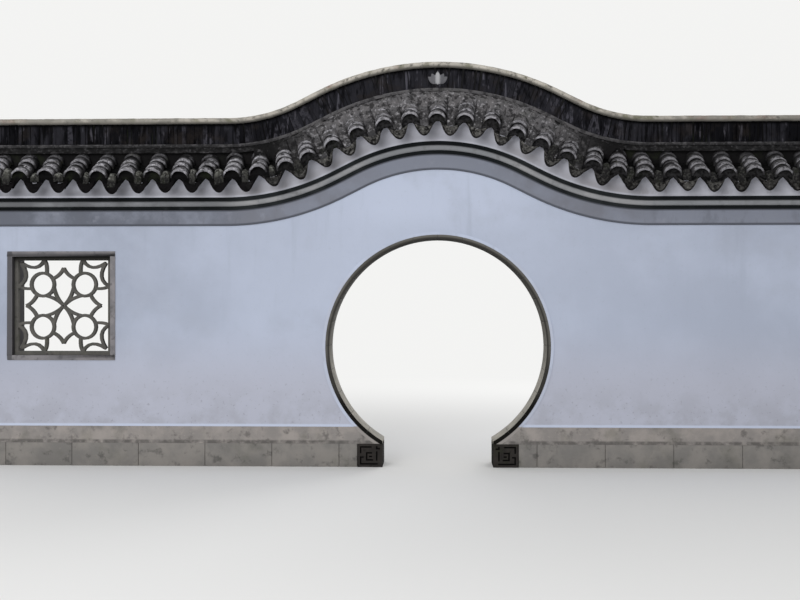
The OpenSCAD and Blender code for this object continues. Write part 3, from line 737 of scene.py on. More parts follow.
def cap_finish(base, foot):
    """Rounded mortar with moss, pale bare patches, and painted shade that darkens the lower part of the
    roll to near black at its underside.
    """
    f = Finish("ridge_mortar", base)
    grain, patches = f.noise(80, 5, 0.7), f.noise(8, 6, seed=2.0)
    f.lay(1.75, f.crest(0.6, 1.8), 0.9)
    f.lay((1.6, 0.01), f.spread(patches, 0.42, 0.6))
    f.lay(2.2, f.crest(0.6, 1.8), f.spread(patches, 0.44, 0.6), 0.7)
    f.lay(0.4, f.patch(17, 0.54, 0.68, 4.0, detail=6), 0.85)
    f.lay((0.085, 0.088, 0.04), f.patch(6, 0.52, 0.66, 8.0), 0.6)
    f.lay((0.25, 0.15, 0.125), f.patch(4, 0.56, 0.7, 12.0, detail=4), 0.5)
    # Painted shade: the lower part of the roll darkens towards its foot.
    f.lay(0.48, f.spread("level", foot + 0.033, foot + 0.006), 0.9)
    f.lay(0.9, f.spread("|X|", 2.0, 3.4), f.patch(5, 0.35, 0.6, 6.0), 0.8)
    # Painted shade: near black under the roll.
    f.lay(0.04, f.spread("level", foot + 0.006, foot - 0.01))
    return f.end(grain, 0.85, 0.97, (grain, 0.002), (patches, 0.006))


def ring_finish(base, sizes):
    """Stone of the lining: a pale worn reveal with painted shade overhead and on surfaces that look down,
    and a face darkened to near black low down by painted shade.
    """
    f = Stone("ring_stone", base, 0.12, 1.25, 0.8)
    flat, middle = f.combine(f.at("X"), 0.0, f.at("Z")), (0, 0, sizes.gate_height)
    reach = f.vector("DISTANCE", flat, middle)["Value"]
    face = f.spread(f.math("ABSOLUTE", f.facing("Y")), 0.5, 0.8)
    # Painted shade overhead: darker with height.
    f.lay(0.5, f.spread("Z", 0.75, 1.35), 0.9)
    # Painted shade on surfaces that look down.
    f.lay(0.1, f.spread(f.facing("Z"), 0.0, -0.75), 0.9)
    f.lay(0.44, face)
    f.lay(0.3, face, f.spread("X", -0.1, -0.7))
    f.lay(0.4, face, f.spread("Z", 2.1, 1.7), f.patch(7, 0.35, 0.6, 8.0))
    f.lay(0.14, face, f.spread(reach, sizes.gate_radius + 0.03, sizes.gate_radius + 0.008))
    # Painted shade on the face low down, where it looks down, near black at the foot.
    f.lay(0.14, face, f.spread("Z", 1.25, 0.9))
    f.lay(0.03, face, f.spread("Z", 0.8, 0.6), f.patch(9, 0.15, 0.35, 5.0))
    patches = f.noise(6, 6)
    return f.end(patches, 0.8, 0.95, (f.noise(80, 5, 0.7), 0.0012), (patches, 0.003))


def carving_finish(base, face):
    """Dark carved stone, much darker in its grooves and on every surface set back behind the worn face at a
    given depth.
    """
    f = Stone("foot_stone", base, 0.15, 1.6, 1.3, 0.04)
    f.lay(0.12, f.spread("|Y|", face - 0.002, face - 0.006))
    grain = f.noise(90, 5, 0.7)
    return f.end(grain, 0.7, 0.92, (grain, 0.0012), (f.noise(9, 5), 0.003))


def dabs_finish(mortar):
    """Dark mortar between the tiles, with pale lime on its top and towards the left end."""
    f = Stone("trough_mortar", tone(mortar, 0.14), 0.2, 1.8, 2.2, 0.02)
    left, up = f.spread("X", -1.2, -1.9), f.facing("Z")
    f.lay((0.06, 0.06, 0.053), left, f.patch(20, 0.42, 0.6, 3.0, detail=3), f.spread(up, -0.2, 0.3))
    f.lay((0.2, 0.2, 0.185), left, f.patch(30, 0.46, 0.6, 8.0, detail=3), f.spread(up, 0.0, 0.4), 0.9)
    f.lay((0.1, 0.1, 0.095), f.spread(up, 0.6, 0.9), f.patch(30, 0.46, 0.58, 5.0), 0.7)
    f.lay((0.045, 0.045, 0.042), f.patch(50, 0.5, 0.58, 13.0), 0.8)
    return f.done()


def crest_finish(mortar):
    """Rough pale mortar over the tiles near the gate, with painted shade in its hollows, and dark away from
    the gate.
    """
    f = Stone("crest_mortar", tone(mortar, 1.18), 0.15, 1.9, 1.5)
    # Painted shade in the hollows between the cover tiles.
    f.lay(tone(mortar, 0.4), f.at("hollow"), f.patch(16, 0.3, 0.55, 23.0), 0.9)
    f.lay(tone(mortar, 4.0), f.patch(26, 0.53, 0.66, 15.0), 0.75)
    f.lay(tone(mortar, 0.26), f.patch(17, 0.51, 0.6, 19.0), 0.85)
    f.lay(tone(mortar, 0.1), f.spread("|X|", 0.95, 1.7), f.patch(12, 0.25, 0.45, 2.0))
    coarse = f.noise(36, 6, 0.7, seed=6.0)
    return f.end(f.noise(10.5, 6), 0.75, 0.95, (f.noise(100, 5, 0.7), 0.002), (coarse, 0.012))


def fillet_finish(mortar, foot):
    """Mortar under the standing tiles, darker away from the gate, with a pale ledge over a dark line and
    painted shade on the slope under the ledge.
    """
    f = Stone("fillet_mortar", mortar, 0.2)
    ledge = f.spread("level", foot - 0.02, foot - 0.008)
    line = f.spread("level", foot - 0.036, foot - 0.028)
    slope = f.spread("level", foot - 0.03, foot - 0.036)
    f.lay(0.24, f.spread("|X|", 1.2, 2.1), f.patch(9, 0.2, 0.5, 2.0))
    f.lay(0.9, f.patch(34, 0.53, 0.62, 17.0), 0.7)
    f.lay(1.2, ledge, f.patch(13, 0.44, 0.56, 7.0), 0.6)
    f.lay(0.35, line, f.patch(14, 0.45, 0.6, 9.0), 0.9)
    # Painted shade on the slope under the ledge, near black.
    f.lay(0.08, slope, f.patch(21, 0.3, 0.6, 3.0, detail=6), 0.95)
    return f.done()


def window_finish(stone, face):
    """Stone of the window's frame, darker on its left jamb, with painted shade under the lintel and in the
    reveal.
    """
    jamb, lintel = -4.305, 2.11
    f = Stone("window_stone", stone, 0.1, 1.3)
    f.lay((0.5, -0.02), f.spread("X", jamb + 0.005, jamb - 0.005), 0.9)
    # Painted shade along the lintel's lower edge.
    above = f.spread("Z", lintel - 0.002, lintel + 0.004)
    f.lay(0.3, above, f.spread("Z", lintel + 0.052, lintel + 0.008), 0.85)
    # Painted shade in the reveal behind the wall's face.
    f.lay(0.24, f.spread("|Y|", face + 0.003, face - 0.001), 0.9)
    return f.done()


# Shapes of the pieces


def eased(value, low, high):
    """A value's share of a range, from 0 to 1 with soft ends."""
    share = min(max((value - low) / (high - low), 0.0), 1.0)
    return share * share * (3 - 2 * share)


def rough(x, y, scale, seed):
    """Roughness of hand-laid mortar at a place, around 0."""
    return noise.fractal(Vector((x * scale, y * scale, seed)), 0.8, 2.1, 4)


def half_turn(across):
    """Angles from 0 to half a turn."""
    return [pi * i / across for i in range(across + 1)]


def arch(r, y, angles):
    """Points on an arch of one radius."""
    return [(r * cos(a), y, r * sin(a)) for a in angles]


def straight_strip(sections, run, steps):
    """A bmesh of sections of (y, height) drawn out along X, ready to be bent along the wave."""
    places = [-run / 2 + run * i / steps for i in range(steps + 1)]
    return merged([loops_mesh([[(x, y, z) for y, z in section] for x in places]) for section in sections])


def box_section(side, y0, y1, z0, z1, round_by=0.003):
    """A rectangle between two depths and heights whose outer corners are cut off."""
    return [
        (side * y0, z0), (side * (y1 - round_by), z0), (side * y1, z0 + round_by),
        (side * y1, z1 - round_by), (side * (y1 - round_by), z1), (side * y0, z1),
    ]


def sloped(bm, side, sizes):
    """Lays a tile that was drawn flat, Y up the slope and Z off it, onto one slope at the eave."""
    turn = Matrix.Rotation(sizes.roof_slope, 4, "X")
    return to_side(moved(bm, Matrix.Translation((0, -sizes.eave_reach, 0)) @ turn), side)


def cover_tile(sizes, across=12):
    """A half-round tile that narrows up the slope, with a thick lower lip."""
    r, thick, start, run = sizes.cover_radius, 0.013, 0.004, sizes.cover_exposure + 0.03
    profile = ((0.0, -0.004), (0.05, 0.0), (0.22, -0.004), (0.6, -0.010), (1.0, -0.014))
    arc = half_turn(across)
    loops = []
    for part, change in profile:
        y = start + part * run
        loops.append(arch(r + change, y, arc) + arch(r + change - thick, y, arc[::-1]))
    sides = [abs(cos(a)) for a in arc]
    sides += sides[::-1]
    return loops_mesh(loops, True, up=lambda i, j: profile[i][0], side=lambda i, j: sides[j])


def mouth_plug(sizes, across=12, rings=5):
    """Mortar inside the mouth of the lowest cover tile, slumped forward at its foot."""
    r = sizes.cover_radius - 0.014
    arc = half_turn(across)
    loops = [arch(r, 0.13, arc)]
    for k in range(rings, 0, -1):
        loop = []
        for a in arc:
            share = k / rings
            height = share * sin(a)
            loop.append((share * r * cos(a), 0.016 + 0.05 * min(height * 1.5, 1.0) ** 1.3, r * height))
        loops.append(loop)
    return loops_mesh(loops)


def mouth_shade_sheet(sizes, sag, across=12):
    """A dark sheet, painted shade under the eave, that fills the corners between the mouth of a row and the
    drips beside it.
    """
    half = sizes.tile_pitch / 2 - 0.03
    spots = [half * (2 * i / across - 1) for i in range(across + 1)]
    loops = []
    for y, top in ((0.012, 0.004), (0.03, 0.02)):
        low = [(x, y, -sag - 1.15 * max(abs(x) - 0.004, 0.0)) for x in reversed(spots)]
        loops.append([(x, y, top) for x in spots] + low)
    return loops_mesh(loops)


def pan_row(sizes, laps=4, across=10):
    """Lapped pan tiles of one row, drawn flat with the lowest one at Y = 0."""
    half_w, dip, thick, under = 0.085, 0.032, 0.014, 0.003
    r = (half_w * half_w + dip * dip) / (2 * dip)
    exposure = (sizes.eave_reach - 0.05) / cos(sizes.roof_slope) / laps
    arc = [asin(half_w / r) * (2 * i / across - 1) for i in range(across + 1)]
    parts = []
    for lap in range(laps):
        loops = []
        for part in (0.0, 0.03, 0.5, 1.15):
            y = 0.004 + (lap + min(part, 1.0 if lap == laps - 1 else part)) * exposure
            middle = r - dip - under + (0.009 * (1 - part) if lap else 0.0)
            inner = [(r * sin(a), y, middle - r * cos(a)) for a in arc]
            outer = [((r + thick) * sin(a), y, middle - (r + thick) * cos(a)) for a in reversed(arc)]
            loops.append(inner + outer)
        parts.append(loops_mesh(loops, True))
    return merged(parts)


def drip(sizes, columns=22, rows=6):
    """Rounded, pointed end tile of a pan row: a raised rim round a field with a fan in low relief."""
    half_w, point, slope = sizes.drip_width / 2 + 0.004, sizes.drip_height, sizes.roof_slope
    front, thick, rim, sunk = sizes.eave_reach + 0.0135, 0.014, 0.016, 0.005
    top = -0.014 * tan(slope) - (0.003 + 0.007) / cos(slope)
    dip = 0.032 / cos(slope) - 0.003
    bend = 2.1
    loops, fields = [], []
    for i in range(columns + 1):
        x = 0.985 * half_w * sin(pi * (i / columns - 0.5))
        u = abs(x) / half_w
        low, high = top - point + point * u ** bend, top - dip * (1 - u * u)
        steep = hypot(1, point / half_w * bend * u ** (bend - 1))
        edge, brow = min(rim * steep, 0.4 * (high - low)), min(rim, 0.4 * (high - low))
        spots = [(low, 0), (low + 0.8 * edge, 0), (low + 1.2 * edge, 1)]
        for k in range(1, rows):
            spots.append((low + 1.2 * edge + (high - low - 1.2 * edge - 1.2 * brow) * k / rows, 1))
        spots += [(high - 1.2 * brow, 1), (high - 0.8 * brow, 1), (high, 1)]
        loop = []
        for z, inside in spots:
            reach = hypot(x, z - top)
            fan = 0.5 + 0.5 * cos(9 * atan2(x, top + 0.012 - z))
            relief = sunk - 0.003 * fan * min(reach / 0.05, 1.0) if inside and z < high - brow else 0.0
            loop.append((x, relief - front, z))
        loops.append(loop + [(x, thick - front, high), (x, thick - front, low)])
        fields.append([float(inside) for z, inside in spots] + [0.0, 0.0])
    return loops_mesh(loops, field=lambda i, j: fields[i][j])


def crest_sheet(sizes, reach=1.9, step=0.0105, rows=26):
    """Rough mortar over the upper laps near the gate that runs down the troughs and over the drips."""
    r = sizes.cover_radius
    half, count = eave_rows(sizes)
    pitch = half / count
    edge, ridge_gap = 0.004, 0.068
    high = (sizes.eave_reach - ridge_gap) / cos(sizes.roof_slope) + 0.075
    lips = ((-0.010, 0.014), (-0.022, 0.0), (-0.033, -0.019), (-0.041, -0.036))
    loops, hollows = [], []
    columns = round(2 * reach / step)
    for i in range(columns + 1):
        x = reach * (2 * i / columns - 1)
        off = abs((x + pitch / 2) % pitch - pitch / 2)
        thin = eased(reach - abs(x), 0.0, 0.9)
        crown = sqrt(max(r * r - off * off, 0.0)) - 0.006
        trough = eased(off, 0.84 * r, 1.02 * r) * eased(thin, 0.1, 0.5)
        bare = 0.185 + 0.12 * (1 - thin) + 0.05 * rough(x, 0.0, 9, 3.0)
        low = bare + (edge - bare) * trough
        top, under, hollow = [], [], []
        for j in range(rows + 1):
            d = high + (low - high) * j / rows
            fill = edge + 0.05 * eased(d, 0.03, 0.21)
            cover = crown + (0.013 * eased(d - bare, -0.02, 0.06) - 0.006) * (0.4 + 0.6 * thin)
            height = max(fill * (0.3 + 0.7 * thin), cover)
            height += (0.128 - height) * eased(d, 0.26, 0.36)
            height += (0.018 * rough(x, d, 14, 7.0) + 0.012 * rough(x, d, 40, 1.0)) * (0.5 + 0.5 * thin)
            top.append((x, d, height))
            deep = trough > 0.5 and d < 0.1
            under.append((x, d, min(height - 0.03, -0.03) if deep else height - 0.035))
            hollow.append(eased(off, 0.7 * r, 1.1 * r) * eased(d, 0.24, 0.14))
        for k, (lip_d, lip_height) in enumerate(lips, 1):
            ragged = 0.008 * rough(x, 0.0, 34, 5.0)
            d = low - 0.001 * k + (lip_d - low + 0.001 * k + 0.4 * ragged) * trough
            sag = height - 0.007 * k
            level = sag + (lip_height + ragged - sag) * trough
            top.append((x, d, level))
            under.append((x, d + 0.006 + 0.01 * trough, level - 0.006 - 0.02 * (1 - trough)))
            hollow.append(hollow[-1])
        loops.append(top + under[::-1])
        hollows.append(hollow + hollow[::-1])
    return loops_mesh(loops, hollow=lambda i, j: hollows[i][j])


def trough_mortar(wide, profile, across=8):
    """A rough dome of mortar between two rows of cover tiles, through (way up, foot, height) points."""
    arc = half_turn(across)
    loops = []
    for y, foot, height in profile:
        loops.append([(wide * cos(a), y, foot + (height - foot) * sin(a) ** 0.6) for a in arc])
    return loops_mesh(loops)


def standing_tile(sizes, depth=0.109):
    """A tile on edge with worn corners, its foot at the origin."""
    thick, tall = sizes.standing_pitch * 0.96, sizes.standing_height
    bm = bmesh.new()
    up = bm.verts.layers.float.new("up")
    bmesh.ops.create_cube(bm, size=1.0)
    moved(bm, Matrix.Translation((0, 0, tall / 2)) @ Matrix.Diagonal((thick, depth, tall, 1)))
    bmesh.ops.bevel(bm, geom=bm.edges[:], offset=0.003, segments=1, affect="EDGES")
    upright = [e for e in bm.edges if abs(e.verts[0].co.z - e.verts[1].co.z) > tall / 2]
    bmesh.ops.subdivide_edges(bm, edges=upright, cuts=3, use_grid_fill=True)
    for vert in bm.verts:
        vert[up] = vert.co.z / tall
    return bm


def ring_stone(sizes, start, end, first=False, last=False, inset=0.0, steps=12):
    """One stone of the lining between two angles from straight down, cut off where the passage begins."""
    inner, outer = sizes.gate_radius + inset, sizes.gate_radius + sizes.ring_thickness - inset / 3
    y = sizes.wall_face + sizes.ring_proud - inset
    edge = y - sizes.ring_slope
    section = ((inner, -y), (outer, -edge), (outer, edge), (inner, y))
    passage, foot = sizes.passage_width / 2, sizes.foot_height
    cuts = {inner: asin(passage / inner), outer: acos((sizes.gate_height - foot) / outer)}
    loops = []
    for i in range(steps + 1):
        loop = []
        for r, depth in section:
            a0 = cuts[r] if first else start
            a1 = 2 * pi - cuts[r] if last else end
            a = a0 + (a1 - a0) * i / steps
            loop.append((r * sin(a), depth, sizes.gate_height - r * cos(a)))
        loops.append(loop)
    if first or last:
        way, near = (1, loops[0]) if first else (-1, loops[-1])
        toe = sizes.gate_height - inner * cos(cuts[inner])
        foot_loop = [(way * passage, depth, toe if r == inner else foot) for r, depth in section]
        near[:] = [
            (x, d, z) if r == outer else (x + way * 0.001, d, z + 0.0006)
            for (x, d, z), (r, depth) in zip(near, section)
        ]
        loops.insert(0 if first else len(loops), foot_loop)
    return loops_mesh(loops)


def petal(long, wide, thick, curl, steps=10, across=6):
    """A hollowed, pointed petal that stands on its tip and curls outwards."""
    loops = []
    for i in range(steps + 1):
        t = i / steps
        half = wide / 2 * sin(pi * t ** 0.8) ** 0.8 if 0 < t < 1 else 0.0005
        lean = curl * t * t
        fronts, backs = [], []
        for j in range(across + 1):
            u = 2 * j / across - 1
            bulge = thick * (0.35 + 0.65 * (1 - u * u) ** 0.5) * sin(pi * min(t * 1.05 + 0.05, 0.99)) ** 0.5
            rib = 0.16 * thick * exp(-(u * 5) ** 2)
            fronts.append((half * u, -bulge + rib - lean, long * t))
            backs.append((half * u, 0.004, long * t))
        loops.append(fronts + backs[::-1])
    return loops_mesh(loops)


def bud_carving(sizes, side):
    """Closed bud between three pairs of petals."""
    middle = max(p.z for p in wave_line(sizes, sizes.standing_foot))
    foot = middle + (sizes.standing_height - sizes.bud_height) / 2
    layout = (
        (0.0, 0.0, 0, 0.138, 0.066, 0.016, 0.0), (0.008, 0.006, 26, 0.12, 0.066, 0.012, 0.002),
        (0.012, 0.014, 52, 0.108, 0.062, 0.009, 0.003), (0.004, 0.03, 78, 0.078, 0.05, 0.006, 0.001),
    )
    parts = []
    for x, z, lean, long, wide, thick, curl in layout:
        for hand in ((1, -1) if lean else (1,)):
            turn = Matrix.Rotation(radians(hand * lean), 4, "Y")
            move = Matrix.Translation((hand * x, -0.055, foot + z))
            parts.append(moved(petal(long, wide, thick, curl), move @ turn))
    return to_side(merged(parts), side)


# Operators


class GateOperator:
    """What the operators share."""

    bl_options = {"REGISTER", "UNDO"}

    @property
    def sizes(self):
        return bpy.context.scene.gate_sizes

    @property
    def colours(self):
        return bpy.context.scene.gate_colours

    def bend(self, name, bm, material, wear, scale, level=0.0, sharp=35):
        """A straight piece bent along the wave."""
        obj, wave = mesh_object(name, bm), wave_object(self.sizes, level)
        grown(obj, bend_tree(), Wave=wave, Wear=wear, Wear_scale=scale, Material=material)
        drop(wave)
        return shade(obj, sharp)

    def strip(self, name, sections, material, wear, scale, steps=400):
        """A piece of constant section along the wave."""
        run = line_length(wave_line(self.sizes))
        return self.bend(name, straight_strip(sections, run, steps), material, wear, scale)

    def rows(self, name, tile, material, side, gaps=False, laps=1, near=0.0, reach=99.0, shift=0.002,
             turn=0.012, swell=0.0, wear=0.004, scale=14.0):
        """A tile on every row of cover tiles along one eave, or in every gap between them."""
        s = self.sizes
        half, count = eave_rows(s)
        start = s.cover_radius + (half / count / 2 if gaps else 0.0)
        step = (0.0, -side * s.cover_exposure * cos(s.roof_slope), s.cover_exposure * sin(s.roof_slope))
        obj = wave_object(s, s.eave_height, name)
        template = mesh_object("tile", tile)
        grown(
            obj, rows_tree(), Tile=template, Start=start, Rows=2 * count + (0 if gaps else 1), Near=near,
            Reach=reach, Laps=laps, Lap_step=step, Shift=shift, Turn=turn, Swell=swell, Wear=wear,
            Wear_scale=scale, Material=material,
        )
        drop(template)
        return shade(obj, 40)


class GATE_OT_walls(GateOperator, bpy.types.Operator):
    """Give the wall its white render, and the plinth course and roof bed their finish"""

    bl_idname = "gate.walls"
    bl_label = "Rendered walls"

    def execute(self, context):
        plaster, base = self.colours.plaster, self.colours.course
        joint, splash = 0.265, 0.405
        foot = (tone(base, 1.2), 1.0, "Z", splash + 0.006, splash - 0.006)
        margin = band_finish("plaster_margin", tone(plaster, 1.02), 0.86, edges=(foot,))
        course = Stone("plinth_course", base, 0.25, 1.35, 0.7)
        course.lay(0.5, course.spread("Z", joint + 0.01, joint - 0.01), course.patch(11, 0.3, 0.6, 4.0))
        bed = Stone("roof_mortar", tone(self.colours.mortar, 0.1), 0.2, scale=1.2, shine=0.02)
        walls = [f"{hand}_{part}" for hand in HANDS for part in ("bay_wall", "gate_pier", "gate_haunch")]
        finishes = (
            (plaster_finish(plaster), walls),
            (margin, ("front_ring_margin", "back_ring_margin")),
            (course.done(), ("left_plinth_cap", "right_plinth_cap")),
            (bed.done(), ("roof_bed", "ridge_base")),
        )
        for material, nodes in finishes:
            for node in nodes:
                finished(frame["nodes"][node], material)
        return {"FINISHED"}


class GATE_OT_bands(GateOperator, bpy.types.Operator):
    """Run the painted bands, lines, moulding and frieze along the wave on both faces"""

    bl_idname = "gate.bands"
    bl_label = "Bands under the coping"

    def execute(self, context):
        face, colours = self.sizes.wall_face, self.colours
        foot, line0, roll0, line1, frieze0, top = self.sizes.levels()
        # Painted shade along the top of the grey band, under the dark line.
        painted_shade_at_top = (0.3, 1.0, "level", line0 - 0.022, line0 - 0.004)
        # Painted shade along the grey band's lower edge.
        painted_lower_edge = (0.42, 0.9, "level", foot + 0.026, foot + 0.012)
        grey = band_finish("grey_band", colours.band, 1.25, 1.16, 1.1, flank=0.93, edges=(painted_shade_at_top, painted_lower_edge))
        # Painted shade along the top of the moulding.
        painted_shade_at_top = (0.45, 1.0, "level", line1 - 0.014, line1 - 0.004)
        pale = band_finish("moulding", colours.moulding, 0.75, 1.12, 1.17, 1.27, 1.6, edges=(painted_shade_at_top,))
        # Painted light: the frieze is made up to twice as light towards its top, against the shade under
        # the eave.
        light = (2.0, 1.0, "level", top - 0.16, top - 0.004)
        # Painted highlight along the frieze's lower edge.
        painted_lower_edge = (1.15, 0.9, "level", frieze0 + 0.026, frieze0 + 0.012)
        frieze = band_finish("frieze", colours.frieze, 0.86, 1.08, 1.0, 1.3, 0.86, edges=(light, painted_lower_edge))
        dark = band_finish("dark_line", colours.line, 2.2, flank=2.4, shine=0.02)
        grey_out, line_out, roll_foot, roll_out, frieze_out = 0.014, 0.005, 0.008, 0.016, 0.004
        rise = (line1 - roll0) / 2
        angles = [pi * (i / 10 - 0.5) for i in range(11)]
        roll = [(face + roll_foot + roll_out * cos(a), roll0 + rise * (1 + sin(a))) for a in angles]
        roll = [(face, roll0), *roll, (face, line1)]
        for side, word in SIDES:
            lower = box_section(side, face, face + line_out, line0, roll0, 0.001)
            upper = box_section(side, face, face + line_out, line1, frieze0, 0.001)
            band = box_section(side, face, face + grey_out, foot, line0)
            sheet = box_section(side, face, face + frieze_out, frieze0, top, 0.001)
            pieces = (
                ("grey_band", [band], grey, "grey_plaster", 0.0015),
                ("dark_lines", [lower, upper], dark, "dark_line", 0.001),
                ("moulding", [[(side * y, z) for y, z in roll]], pale, "pale_plaster", 0.002),
                ("frieze", [sheet], frieze, "pale_plaster", 0.001),
            )
            for name, sections, material, slot, wear in pieces:
                seat(self.strip(f"{name}_{word}", sections, material, wear, 5.0), slot, f"{word}_{name}")
        return {"FINISHED"}


class GATE_OT_cover_tiles(GateOperator, bpy.types.Operator):
    """Lay lapped half-round tiles in rows on both slopes, with near-black mortar in their mouths and dark
    sheets of painted shade beside them
    """

    bl_idname = "gate.cover_tiles"
    bl_label = "Cover tiles"

    def execute(self, context):
        s, mortar = self.sizes, self.colours.mortar
        clay = cover_finish(self.colours.cover, self.colours.lichen)
        # Near-black mortar for the mouths and the sheets beside them: painted shade inside the mouths and
        # under the eave.
        dark = Stone("mouth_mortar", tone(mortar, 0.06), 0.2, 1.6, shine=0.02)
        dark.lay(tone(mortar, 0.3), dark.spread("X", -2.0, -0.9), dark.patch(30, 0.35, 0.6, 2.0))
        dark = dark.done()
        for side, word in SIDES:
            piece = self.rows(
                f"cover_tiles_{word}", sloped(cover_tile(s), side, s), clay, side, laps=4, shift=0.004,
                turn=0.03, wear=0.009, scale=24.0,
            )
            seat(piece, "cover_tile", f"{word}_cover_tiles")
            fillings = (
                ("mouth_mortar", mouth_plug(s), {"shift": 0.0, "turn": 0.0, "wear": 0.012, "scale": 45.0}),
                # Dark sheets in the corners under the mouths: painted shade under the eave.
                ("level_slump", mouth_shade_sheet(s, 0.016), {"near": 1.3, "wear": 0.01, "scale": 40.0}),
                ("crest_slump", mouth_shade_sheet(s, 0.002), {"reach": 1.3, "wear": 0.01, "scale": 40.0}),
            )
            for name, filling, options in fillings:
                piece = self.rows(f"{name}_{word}", sloped(filling, side, s), dark, side, **options)
                seat(piece, "roof_mortar")
        return {"FINISHED"}


class GATE_OT_pan_tiles(GateOperator, bpy.types.Operator):
    """Lay pan tiles between the cover tiles, each row ending in a drip, with mortar in the troughs"""

    bl_idname = "gate.pan_tiles"
    bl_label = "Pan tiles and drips"

    def execute(self, context):
        s, colours = self.sizes, self.colours
        clay = pan_finish(colours.pan, tone(colours.mortar, 0.7))
        moulded = drip_finish(colours.drip, (0.08, 0.078, 0.074))
        dabs, pale = dabs_finish(colours.mortar), crest_finish(colours.mortar)
        dome = (
            (-0.042, -0.05, -0.04), (-0.026, -0.05, 0.0), (-0.01, -0.03, 0.03), (0.018, -0.03, 0.046),
            (0.05, -0.03, 0.052), (0.09, -0.03, 0.035), (0.13, -0.03, -0.02),
        )
        for side, word in SIDES:
            pans = sloped(pan_row(s), side, s)
            piece = self.rows(f"pan_tiles_{word}", pans, clay, side, True, turn=0.006, wear=0.003)
            seat(piece, "pan_tile", f"{word}_pan_tiles")
            tile = to_side(drip(s), side)
            piece = self.rows(f"drips_{word}", tile, moulded, side, True, turn=0.02, scale=20.0)
            seat(piece, "pan_tile")
            filling = sloped(trough_mortar(0.038, dome), side, s)
            piece = self.rows(
                f"eave_dabs_{word}", filling, dabs, side, True, near=1.0, shift=0.007, turn=0.05,
                swell=0.3, wear=0.03, scale=40.0,
            )
            seat(piece, "roof_mortar")
            sheet = sloped(crest_sheet(s), side, s)
            piece = self.bend(f"crest_mortar_{word}", sheet, pale, 0.006, 60.0, s.eave_height, 50)
            seat(piece, "roof_mortar")
        return {"FINISHED"}


class GATE_OT_ridge(GateOperator, bpy.types.Operator):
    """Build the ridge: mortar fillets with a ledge, tiles standing on edge and the rounded cap"""

    bl_idname = "gate.ridge"
    bl_label = "Ridge"

    def execute(self, context):
        s, mortar = self.sizes, self.colours.mortar
        foot, top = s.standing_foot, s.standing_foot + s.standing_height
        fillet = fillet_finish(mortar, foot)
        crown = s.cover_radius / cos(s.roof_slope) + 0.006
        slope = [
            (0.06, foot), (0.06, s.seat_at(0.06) + crown), (0.116, s.seat_at(0.116) + crown),
            (0.117, s.seat_at(0.118) + crown + 0.007), (0.09, s.seat_at(0.09) + crown + 0.014),
            (0.07, foot - 0.033), (0.081, foot - 0.033), (0.083, foot - 0.03), (0.083, foot - 0.004),
            (0.08, foot - 0.001),
        ]
        for side, word in SIDES:
            section = [(side * y, z) for y, z in slope]
            piece = self.strip(f"ridge_fillet_{word}", [section], fillet, 0.007, 24.0, 700)
            seat(piece, "roof_mortar", f"{word}_ridge_fillet")
        joint = Stone("standing_mortar", tone(mortar, 0.05), 0.2, 1.8, shine=0.02)
        joint.lay(tone(mortar, 0.16), joint.crest(0.8, 2.0), 0.8)
        core = 0.046
        section = box_section(1, -core, core, foot, top, 0.0005)
        seat(self.strip("standing_joints", [section], joint.done(), 0.004, 30.0), "roof_mortar")
        tile, ridge = mesh_object("standing tile", standing_tile(s)), wave_object(s, foot, "standing_tiles")
        count = round(line_length(wave_line(s, foot)) / s.standing_pitch)
        grown(
            ridge, standing_tree(), Tile=tile, Count=count, Shift=0.004, Turn=0.03, Swell=0.3, Wear=0.004,
            Wear_scale=30.0, Material=standing_finish(self.colours.standing),
        )
        drop(tile)
        seat(shade(ridge), "ridge_tile", "ridge_tile_band")
        half = (
            (0.56, 0.0), (0.71, 0.0), (0.86, 0.08), (0.97, 0.25), (1.0, 0.42), (0.96, 0.6), (0.8, 0.76),
            (0.52, 0.87), (0.2, 0.91),
        )
        half = [(y * s.cap_width / 2, top + z * s.cap_height) for y, z in half]
        section = half + [(-y, z) for y, z in reversed(half)]
        cap = self.strip("ridge_cap_mortar", [section], cap_finish(self.colours.cap, top), 0.008, 14.0, 700)
        seat(cap, "ridge_mortar", "ridge_cap")
        return {"FINISHED"}


class GATE_OT_bud(GateOperator, bpy.types.Operator):
    """Carve the plaster bud on each side of the ridge over the gate"""

    bl_idname = "gate.bud"
    bl_label = "Carved bud"

    def execute(self, context):
        lime = Stone("carved_plaster", self.colours.bud, 0.1, 1.6, 1.6)
        lime.lay((0.37, 0.37, 0.385), lime.spread("|X|", 0.036, 0.008), 0.9)
        lime = lime.done()
        for side, word in SIDES:
            piece = mesh_object(f"ridge_bud_{word}_carving", bud_carving(self.sizes, side))
            seat(shade(finished(piece, lime), 50), "carved_plaster", f"{word}_ridge_bud")
        return {"FINISHED"}


class GATE_OT_ring(GateOperator, bpy.types.Operator):
    """Line the round opening with stones in thin mortar joints"""

    bl_idname = "gate.ring"
    bl_label = "Ring of stones"

    def execute(self, context):
        s = self.sizes
        open_angle = acos((s.gate_height - s.foot_height) / s.gate_radius)
        gap = 0.003
        joint = gap / s.gate_radius
        step = (2 * (pi - open_angle) + joint) / s.ring_stones
        stones, joints = [], []
        for i in range(s.ring_stones):
            start = open_angle + i * step
            stones.append(ring_stone(s, start, start + step - joint, i == 0, i == s.ring_stones - 1))
            if i:
                ends = (start - 1.2 * joint, start + 0.2 * joint)
                joints.append(ring_stone(s, *ends, inset=gap, steps=1))
        ring = worn_edges(mesh_object("ring_stones", merged(stones)), 0.003, 40)
        seat(shade(finished(ring, ring_finish(self.colours.ring, s))), "ring_stone", "ring_lining")
        mortar = Stone("joint_mortar", tone(self.colours.mortar, 0.4))
        seat(finished(mesh_object("ring_joints", merged(joints)), mortar.done()), "ring_stone")
        return {"FINISHED"}


